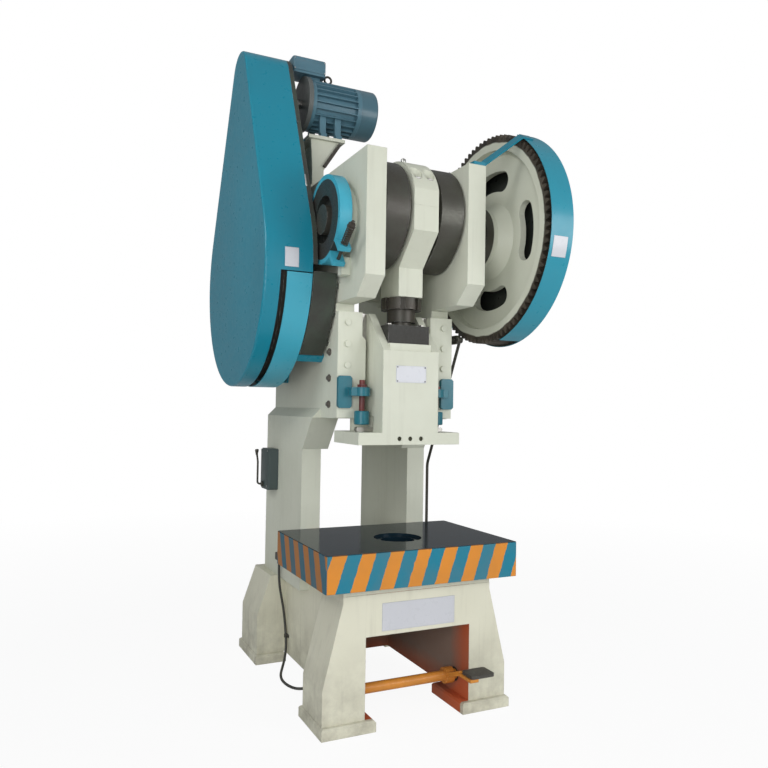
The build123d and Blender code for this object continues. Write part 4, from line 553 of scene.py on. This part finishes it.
# Painted highlight: the teal made lighter for the guard's band and the brake band
highlit_enamel = sheet_enamel("highlit_enamel", highlit_teal, highlit_teal_shade)
stop_enamel = enamel("stop_enamel", stop_teal, stop_teal_shade, gloss=0.34, relief=0.0003,
                     wear=0.5, dirt=0.3, coat=0.1)
motor_enamel = enamel("motor_enamel", motor_blue, motor_shade, gloss=0.36, relief=0.0004,
                      wear=0.4, dirt=0.3, coat=0.1)
cowl_enamel = enamel("cowl_enamel", cowl_blue, cowl_shade, gloss=0.30, relief=0.0002, wear=0.4,
                     dirt=0.2, coat=0.15)
# Painted shade: the flange is dark all over, standing for the shadow on its left face
shaded_flange_enamel = enamel("shaded_flange_enamel", shaded_flange_dark, flange_shade, gloss=0.4, wear=0.9,
                       under=bare_flange, coat=0.1)
box_enamel = enamel("box_enamel", box_grey, box_shade, gloss=0.42, relief=0.0003, coat=0.1)
treadle_enamel = enamel("treadle_enamel", treadle_orange, treadle_shade, gloss=0.4, wear=0.8,
                        dirt=0.30, coat=0.2)
plate_enamel = enamel("plate_enamel", plate_white, plate_shade, gloss=0.28, relief=0.0001,
                      wear=0.4, dirt=0.1, under=bare_plate, coat=0.2)
crank_iron = greasy_iron("crank_iron", cheek_grey, cheek_brown, rings=1.0, centre=crank_line)
drum_iron = greasy_iron("drum_iron", drum_green, drum_brown, rings=1.0, centre=crank_line,
                        bare=0.3)
wheel_iron = greasy_iron("wheel_iron", dark_iron, grease_brown, rings=1.0, centre=backshaft_line)
plain_iron = greasy_iron("plain_iron", dark_iron, grease_brown, gloss=0.42)
cap_iron = greasy_iron("cap_iron", cap_black, cap_brown, gloss=0.55, bare=0.12)
# A dark sheet that stands in for the shade between the belt guard and the frame
shade_shield_iron = greasy_iron("shade_shield_iron", shade_sheet_green, shade_sheet_brown, gloss=0.5, bare=0.15)
screw_iron = greasy_iron("screw_iron", red_brown, red_shade, gloss=0.42, bare=0.2)
shaft_steel = machined("shaft_steel", bright_steel, centre=backshaft_line)
rotor_steel = machined("rotor_steel", bright_steel, centre=motor_line)
ground_steel = machined("ground_steel", bright_steel, gloss=0.3, rings=0.0)
zinc_steel = machined("zinc_steel", zinc, gloss=0.34, rings=0.0)
bush_bronze = machined("bush_bronze", bronze, centre=crank_line)
belt_rubber = rubber("belt_rubber", rubber_black)
pad_rubber = rubber("pad_rubber", pad_grey, 0.7, 0.45)
conduit_skin = rubber("conduit_skin", conduit_black, 0.5, 0.3)

finishes = [
    (cream_enamel, "side_frame_right side_frame_left rear_web tie_plates connecting_rod rod_cap"
                   " ram gib_keepers motor_bracket brake_anchor"),
    (gear_casting(), "drive_gear"),
    (base_casting(), "base_frame"),
    (bolster_finish(), "bolster"),
    (teal_enamel, "belt_guard_cover guard_brackets"),
    (highlit_enamel, "belt_guard_band brake_band"),
    (stop_enamel, "stop_brackets stop_heads"),
    (gear_guard_enamel(), "gear_guard"),
    (crank_iron, "crankshaft clutch_collar"),
    (drum_iron, "brake_drum"),
    (wheel_iron, "flywheel motor_pulley"),
    # The flywheel shield's dark sheet is painted shade for the gap beside the frame
    (shade_shield_iron, "flywheel_shield"),
    (screw_iron, "stop_screws"),
    (cap_iron, "ball_cap"),
    (plain_iron, "adjusting_screw lock_ring brake_bolt conduit_fittings"
                 " linkage_bearings pull_rod clutch_lever lever_handle motor_fittings"),
    (shaft_steel, "back_shaft pinion flywheel_nut"),
    (rotor_steel, "motor_rotor"),
    (ram_bolt_steel(), "ram_screws"),
    (ground_steel, "crank_end_cap rod_cap_bolts knockout_bar gibs"),
    (gib_bolt_finish(), "gib_bolts"),
    (bush_bronze, "main_bushes backshaft_bushes crankpin_bush gear_bush"),
    (motor_enamel, "motor_body terminal_box"),
    (cowl_enamel, "motor_cowl"),
    (shaded_flange_enamel, "motor_flange"),
    (box_enamel, "lever_box"),
    (belt_rubber, "drive_belts"),
    (conduit_skin, "conduit"),
    (treadle_enamel, "treadle"),
    (pad_rubber, "treadle_pad"),
]
for material, names in finishes:
    for name in names.split():
        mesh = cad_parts[name].data
        mesh.materials.clear()
        mesh.materials.append(material)


def set_camera():
    """The camera where the photograph was taken from."""
    data = bpy.data.cameras.new("camera")
    data.lens = camera_lens
    data.sensor_width = 36
    camera = bpy.data.objects.new("camera", data)
    bpy.context.scene.collection.objects.link(camera)
    turn = Matrix.Rotation(camera_turn, 4, "Z") @ Matrix.Rotation(pi / 2 + camera_tilt, 4, "X")
    turn = turn @ Matrix.Rotation(camera_roll, 4, "Z")
    camera.matrix_world = Matrix.Translation(camera_place) @ turn
    bpy.context.scene.camera = camera


set_camera()


def dress(piece, material, body):
    """A finished piece's material and the body that it moves with."""
    piece.data.materials.clear()
    piece.data.materials.append(material)
    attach(piece, body)
    return piece


def lay_conduit():
    """The conduit, one smooth line from nozzle to nozzle."""
    curve = bpy.data.curves.new("conduit_run", "CURVE")
    curve.dimensions = "3D"
    curve.resolution_u = 12
    spline = curve.splines.new("NURBS")
    spline.points.add(len(conduit_route) - 1)
    for point, place in zip(spline.points, conduit_route):
        point.co = (*place, 1)
    spline.order_u = 3
    spline.use_endpoint_u = True
    curve.bevel_depth = conduit_radius
    curve.bevel_resolution = 5
    piece = bpy.data.objects.new("conduit_run", curve)
    bpy.context.scene.collection.objects.link(piece)
    dress(piece, conduit_skin, "root")
    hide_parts("conduit")


lay_conduit()


def only(piece):
    """This piece alone is selected and active."""
    bpy.ops.object.select_all(action="DESELECT")
    piece.select_set(True)
    bpy.context.view_layer.objects.active = piece


def begin(name):
    """The new primitive under its own name, with its place in its mesh."""
    piece = bpy.context.object
    piece.name = name
    piece.data.name = name
    only(piece)
    bpy.ops.object.transform_apply(location=True, rotation=True, scale=True)
    return piece


def new_block(name, low, high):
    """A block between two opposite corners, to be shaped further."""
    bpy.ops.object.select_all(action="DESELECT")
    centre = [(a + b) / 2 for a, b in zip(low, high)]
    size = [b - a for a, b in zip(low, high)]
    bpy.ops.mesh.primitive_cube_add(size=1, location=centre, scale=size)
    return begin(name)


def new_rod(name, radius, start, end, sides=24):
    """A round or many-sided rod between two points, to be shaped further."""
    bpy.ops.object.select_all(action="DESELECT")
    run = Vector(end) - Vector(start)
    middle = (Vector(end) + Vector(start)) / 2
    bpy.ops.mesh.primitive_cylinder_add(vertices=sides, radius=radius, depth=run.length,
                                        location=middle,
                                        rotation=run.to_track_quat("Z", "Y").to_euler())
    return begin(name)


def pick_faces(piece, test):
    """Edit mode, with only the faces selected that pass the test."""
    only(piece)
    bpy.ops.object.mode_set(mode="EDIT")
    bpy.ops.mesh.select_mode(type="FACE")
    bpy.ops.mesh.select_all(action="DESELECT")
    bpy.ops.object.mode_set(mode="OBJECT")
    for face in piece.data.polygons:
        face.select = test(face)
    bpy.ops.object.mode_set(mode="EDIT")


def step_face(piece, direction, inset, rise):
    """The face that looks one way gets a rim and is pushed in or out inside it."""
    way = Vector(direction)
    pick_faces(piece, lambda face: face.normal.dot(way) > 0.98)
    bpy.ops.mesh.inset(thickness=inset, depth=0)
    move = tuple(way * rise)
    bpy.ops.mesh.extrude_region_move(TRANSFORM_OT_translate={"value": move})
    bpy.ops.object.mode_set(mode="OBJECT")


def soften(piece, width, segments=2):
    """Rounded edges and smooth shading between them."""
    only(piece)
    bevel = piece.modifiers.new("edges", "BEVEL")
    bevel.width = width
    bevel.segments = segments
    bevel.limit_method = "ANGLE"
    bevel.angle_limit = radians(28)
    bpy.ops.object.modifier_apply(modifier=bevel.name)
    bpy.ops.object.shade_smooth_by_angle(angle=radians(35))
    return piece


def join(name, pieces):
    """Several finished pieces as one object."""
    bpy.ops.object.select_all(action="DESELECT")
    for piece in pieces:
        piece.select_set(True)
    bpy.context.view_layer.objects.active = pieces[0]
    bpy.ops.object.join()
    whole = bpy.context.object
    whole.name = name
    whole.data.name = name
    return whole


def copies(piece, moves):
    """The piece and a copy of it, with its own mesh, at each further move."""
    made = [piece]
    for move in moves:
        twin = piece.copy()
        twin.data = piece.data.copy()
        bpy.context.scene.collection.objects.link(twin)
        twin.data.transform(Matrix.Translation(move))
        made.append(twin)
    return made


def four_screws(name, place, across, up, direction, radius, height, sides=20):
    """Four screw heads on a face, with round sockets, the first one at a place."""
    way = Vector(direction)
    head = new_rod(name, radius, place, Vector(place) + way * height, sides)
    step_face(head, direction, radius * 0.45, -height * 0.45)
    soften(head, radius * 0.12)
    corners = [(across, 0), (0, up), (across, up)]
    moves = [(0, run, rise) if direction[0] else (run, 0, rise) for run, rise in corners]
    return join(name, copies(head, moves))


def small_plate(name, low, high, direction, body, screw_radius=0.0):
    """A bare enamelled plate with a low rim, and a screw in each corner where it has them."""
    plate = new_block(name, low, high)
    step_face(plate, direction, 0.0025, -0.0004)
    soften(plate, 0.0003, 1)
    dress(plate, plate_enamel, body)
    if screw_radius:
        inner = 2.2 * screw_radius
        x0, x1 = low[0] + inner, high[0] - inner
        z0, z1 = low[2] + inner, high[2] - inner
        screws = four_screws(name + "_screws", (x0, low[1], z0), x1 - x0, z1 - z0, direction,
                             screw_radius, 0.0022, 14)
        dress(screws, plain_iron, body)


def curved_label(name, radius, centre, x_range, angles, body):
    """A bare label laid round the front of a guard's curved edge."""
    bpy.ops.object.select_all(action="DESELECT")
    middle = (sum(x_range) / 2, *centre)
    bpy.ops.mesh.primitive_cylinder_add(vertices=360, radius=radius + 0.0005, location=middle,
                                        depth=x_range[1] - x_range[0], rotation=(0, pi / 2, 0))
    label = begin(name)

    def off_the_label(face):
        angle = atan2(face.center.z - centre[1], centre[0] - face.center.y)
        return abs(face.normal.x) > 0.5 or not angles[0] < angle < angles[1]

    pick_faces(label, off_the_label)
    bpy.ops.mesh.delete(type="FACE")
    bpy.ops.object.mode_set(mode="OBJECT")
    wall = label.modifiers.new("thickness", "SOLIDIFY")
    wall.thickness = 0.0009
    wall.offset = 1.0
    bpy.ops.object.modifier_apply(modifier=wall.name)
    bpy.ops.object.shade_smooth_by_angle(angle=radians(30))
    dress(label, plate_enamel, body)


def dress_lever_box():
    """A raised lid with four screws on the switch box's face, behind the handle's boss."""
    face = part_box("lever_box")[0].x + lever_box_boss
    front = face - 0.004
    lid = new_block("lever_box_lid", (front, 0.766, 0.974), (face, 0.899, 1.184))
    step_face(lid, (-1, 0, 0), 0.008, 0.002)
    soften(lid, 0.0015)
    dress(lid, box_enamel, "root")
    screws = four_screws("lever_box_screws", (front, 0.7715, 0.980), 0.122, 0.198, (-1, 0, 0),
                         0.0035, 0.002)
    dress(screws, zinc_steel, "root")


def bend_handle():
    """The switch's handle: a thin rod bent up clear of the box, with a tapered knob."""
    y, z = handle_pivot
    hub_back = -0.4293
    hub_front = -0.4410
    rod_back = -0.4350
    hub = soften(new_rod("handle_hub", 0.015, (hub_back, y, z), (hub_front, y, z)), 0.002)
    bend = 0.014
    bend_x = handle_x + bend
    rod = new_rod("handle_rod", 0.0055, (rod_back, y, z), (bend_x, y, z), 20)
    pick_faces(rod, lambda face: face.normal.x < -0.98)
    bpy.ops.mesh.spin(steps=8, angle=-pi / 2, center=(bend_x, y, z + bend), axis=(0, 1, 0))
    for lean, rise in ((0.0, 0.112), (-0.003, 0.024), (-0.003, 0.018)):
        bpy.ops.mesh.extrude_region_move(TRANSFORM_OT_translate={"value": (lean, 0, rise)})
    bpy.ops.mesh.select_all(action="SELECT")
    bpy.ops.mesh.remove_doubles(threshold=0.0001)
    bpy.ops.mesh.normals_make_consistent(inside=False)
    bpy.ops.object.mode_set(mode="OBJECT")
    bpy.ops.object.shade_smooth_by_angle(angle=radians(35))
    top = z + bend + 0.150
    knob = new_rod("handle_knob", 0.0068, (handle_x - 0.006, y, top),
                   (handle_x - 0.007, y, top + 0.008))
    pick_faces(knob, lambda face: face.normal.z > 0.9)
    for wider, rise in ((1.35, 0.010), (1.22, 0.010), (0.80, 0.006)):
        bpy.ops.mesh.extrude_region_move(TRANSFORM_OT_translate={"value": (0, 0, rise)})
        bpy.ops.transform.resize(value=(wider, wider, 1.0))
    bpy.ops.object.mode_set(mode="OBJECT")
    soften(knob, 0.0015)
    handle = dress(join("switch_handle", [rod, hub, knob]), plain_iron, "handle")
    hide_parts("lever_handle")


def dress_terminal_box():
    """A lid with four screws on the motor's terminal box."""
    low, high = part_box("terminal_box")
    front = low.y - 0.003
    lid = new_block("terminal_lid", (low.x + 0.004, front, low.z + 0.030),
                    (high.x - 0.004, low.y, high.z - 0.008))
    step_face(lid, (0, -1, 0), 0.010, -0.0015)
    soften(lid, 0.0012)
    dress(lid, motor_enamel, "root")
    x0, x1 = low.x + 0.009, high.x - 0.009
    z0, z1 = low.z + 0.035, high.z - 0.013
    screws = four_screws("terminal_screws", (x0, front, z0), x1 - x0, z1 - z0, (0, -1, 0),
                         0.0035, 0.0022)
    dress(screws, zinc_steel, "root")


def coil_brake_spring():
    """The band's bolt with two nuts, a washer and a coil spring along it."""
    turn = radians(231)
    outward = Vector((0, cos(turn), sin(turn)))
    along = Vector((0, -sin(turn), cos(turn)))
    low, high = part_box("brake_bolt")
    middle = Vector(((low.x + high.x) / 2, (low.y + high.y) / 2, (low.z + high.z) / 2))
    half = 0.125
    # Start along the bolt, thickness, sides and radius
    low_nut = (-0.112, 0.014, 6, 0.017)
    washer = (-0.097, 0.003, 24, 0.020)
    high_nut = (0.104, 0.014, 6, 0.017)
    pieces = [new_rod("brake_bolt_rod", 0.008, middle - along * half, middle + along * half)]
    for start, thickness, sides, radius in (low_nut, washer, high_nut):
        ring = new_rod("brake_nut", radius, middle + along * start,
                       middle + along * (start + thickness), sides)
        pieces.append(soften(ring, 0.0012))
    wire = 0.0032
    coil_radius = 0.0145
    coil_start = 0.092
    bpy.ops.object.select_all(action="DESELECT")
    bpy.ops.mesh.primitive_circle_add(vertices=10, radius=wire, location=(coil_radius, 0, 0),
                                      rotation=(pi / 2, 0, 0), fill_type="NOTHING")
    spring = begin("brake_spring")
    screw = spring.modifiers.new("coil", "SCREW")
    screw.axis = "Z"
    screw.angle = 2 * pi
    screw.iterations = 9
    screw.screw_offset = 0.0125
    screw.steps = 28
    screw.render_steps = 28
    screw.use_normal_calculate = True
    bpy.ops.object.modifier_apply(modifier=screw.name)
    bpy.ops.object.mode_set(mode="EDIT")
    bpy.ops.mesh.select_all(action="SELECT")
    bpy.ops.mesh.fill_holes(sides=10)
    bpy.ops.mesh.normals_make_consistent(inside=False)
    bpy.ops.object.mode_set(mode="OBJECT")
    bpy.ops.object.shade_smooth()
    side = along.cross(outward)
    stand = Matrix((outward, side, along)).transposed().to_4x4()
    spring.data.transform(Matrix.Translation(middle - along * coil_start) @ stand)
    pieces.append(spring)
    whole = dress(join("brake_tension", pieces), plain_iron, "root")
    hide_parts("brake_bolt")


def oil_cup(name, place, body):
    """A turned oil cup with a hexagon foot and a domed lid, standing on a boss."""
    x, y, z = place
    foot = soften(new_rod("cup_foot", 0.011, (x, y, z), (x, y, z + 0.010), 6), 0.001)
    cup = new_rod("cup_bowl", 0.013, (x, y, z + 0.010), (x, y, z + 0.028))
    step_face(cup, (0, 0, 1), 0.004, 0.006)
    step_face(cup, (0, 0, 1), 0.004, 0.003)
    soften(cup, 0.0012)
    dress(join(name, [foot, cup]), zinc_steel, body)


def tie_conduit():
    """A dark saddle that holds the conduit to the wall."""
    x, y, z = conduit_route[6]
    strap = new_rod("conduit_saddle", 0.0105, (x, y + 0.0012, z - 0.009),
                    (x, y - 0.0012, z + 0.009))
    along = Vector((0, -0.0024, 0.018)).normalized()
    step_face(strap, along, 0.0022, 0.0008)
    soften(strap, 0.001)
    foot = new_block("saddle_foot", (x + 0.004, y - 0.022, z - 0.008),
                     (x + 0.012, y + 0.022, z + 0.008))
    soften(foot, 0.001)
    dress(join("conduit_saddle", [strap, foot]), plain_iron, "root")


def guard_clips():
    """Two bright clips over the belt guard's right edge."""
    lean = radians(25.3)
    out = Vector((0, -cos(lean), sin(lean)))
    up = Vector((0, sin(lean), cos(lean)))
    foot = Vector((guard_clip_x, *backshaft_line[1:])) + out * (guard_radius + 0.0015)
    for name, reach, length in (("guard_clip_low", 0.16, 0.075), ("guard_clip_high", 0.68, 0.030)):
        start = foot + up * reach
        clip = new_rod(name, 0.006, start, start + up * length, 8)
        soften(clip, 0.0015)
        dress(clip, zinc_steel, "root")


small_plate("ram_plate", (-0.082, -0.1615, 1.557), (0.081, -0.160, 1.638), (0, -1, 0), "ram",
            0.0032)
small_plate("beam_board", (-0.192, -0.2782, 0.430), (0.186, -0.277, 0.556), (0, -1, 0), "root")
curved_label("belt_guard_label", guard_radius, backshaft_line[1:], (-0.594, -0.526),
             (-0.045, 0.105), "root")
curved_label("gear_guard_label", gear_guard_radius, crank_line[1:], (0.507, 0.588),
             (-0.315, -0.135), "root")
dress_lever_box()
bend_handle()
dress_terminal_box()
coil_brake_spring()
oil_cup("rod_oil_cup", (0, crank_line[1], 2.6445), "conrod")
oil_cup("left_oil_cup", (-0.267, crank_line[1], 2.6145), "root")
oil_cup("right_oil_cup", (0.267, crank_line[1], 2.6145), "root")
tie_conduit()
guard_clips()


def soft_lamp(name, place, target, size, power, opening):
    """A square soft lamp that looks at a point."""
    data = bpy.data.lights.new(name, "AREA")
    data.size = size
    data.energy = power
    data.spread = opening
    lamp = bpy.data.objects.new(name, data)
    bpy.context.scene.collection.objects.link(lamp)
    look = (Vector(target) - Vector(place)).to_track_quat("-Z", "Y")
    lamp.matrix_world = Matrix.Translation(place) @ look.to_matrix().to_4x4()


def unseen_white(tree, shader, surface, shown, mirrored):
    """White where the camera or glass looks, fainter in a reflection, and the surface for light."""
    path = add(tree, "LightPath").outputs
    seen = calc(tree, "MAXIMUM", path["Is Camera Ray"], path["Is Transmission Ray"])
    part = calc(tree, "MULTIPLY", seen, shown)
    gloss = calc(tree, "MULTIPLY", path["Is Glossy Ray"], mirrored)
    white = add(tree, shader, {"Color": (1, 1, 1, 1), "Strength": 1.0}).outputs[0]
    either = calc(tree, "MAXIMUM", part, gloss)
    return add(tree, "MixShader", {0: either, 1: surface, 2: white}).outputs[0]


def set_world():
    """Pale light from the front, left and above, a dim back, and white behind the press."""
    world = bpy.data.worlds.new("studio")
    world.use_nodes = True
    tree = world.node_tree
    plain = tree.nodes["Background"]
    plain.inputs["Color"].default_value = (0.96, 0.98, 1.0, 1)
    way = add(tree, "SeparateXYZ", {0: add(tree, "TexCoord").outputs["Generated"]}).outputs
    ahead = spread(tree, way["Y"], 0.35, -0.45, back_light, front_light)
    beside = spread(tree, way["X"], -0.10, -0.75, 0.0, left_light)
    above = spread(tree, way["Z"], 0.35, 0.95, 0.0, top_light)
    level = calc(tree, "MAXIMUM", calc(tree, "MAXIMUM", ahead, beside), above)
    tree.links.new(level, plain.inputs["Strength"])
    seen = unseen_white(tree, "Background", plain.outputs[0], 1.0, mirror_share)
    tree.links.new(seen, tree.nodes["World Output"].inputs["Surface"])
    bpy.context.scene.world = world


def set_floor():
    """A large white floor that keeps the press's shadow."""
    bpy.ops.object.select_all(action="DESELECT")
    bpy.ops.mesh.primitive_plane_add(size=60, location=(0, 0.3, 0))
    floor = bpy.context.object
    floor.name = "floor"
    material, tree, shader = new_material("floor_white")
    shader.inputs["Base Color"].default_value = (0.90, 0.90, 0.90, 1)
    shader.inputs["Roughness"].default_value = 0.9
    shader.inputs["Specular IOR Level"].default_value = 0.1
    place = add(tree, "TexCoord").outputs["Object"]
    away = add(tree, "VectorMath", {0: place}, operation="LENGTH").outputs["Value"]
    shown = spread(tree, away, 2.0, 6.5, 0.93, 1.0)
    part = unseen_white(tree, "Emission", shader.outputs[0], shown, mirror_share)
    tree.links.new(part, tree.nodes["Material Output"].inputs["Surface"])
    floor.data.materials.append(material)


set_world()
set_floor()
soft_lamp("key", (3.0, -4.6, 2.6), (0, 0, 1.5), 2.4, key_power, pi)
soft_lamp("side", (-3.2, -4.4, 2.0), (0, 0, 1.7), 2.4, side_power, pi)
soft_lamp("guard_fill", (-4.0, -1.2, 4.4), (-0.69, 0.5, 2.5), 1.4, fill_power, radians(60))
bpy.context.scene.view_settings.view_transform = "Standard"

bpy.context.view_layer.update()
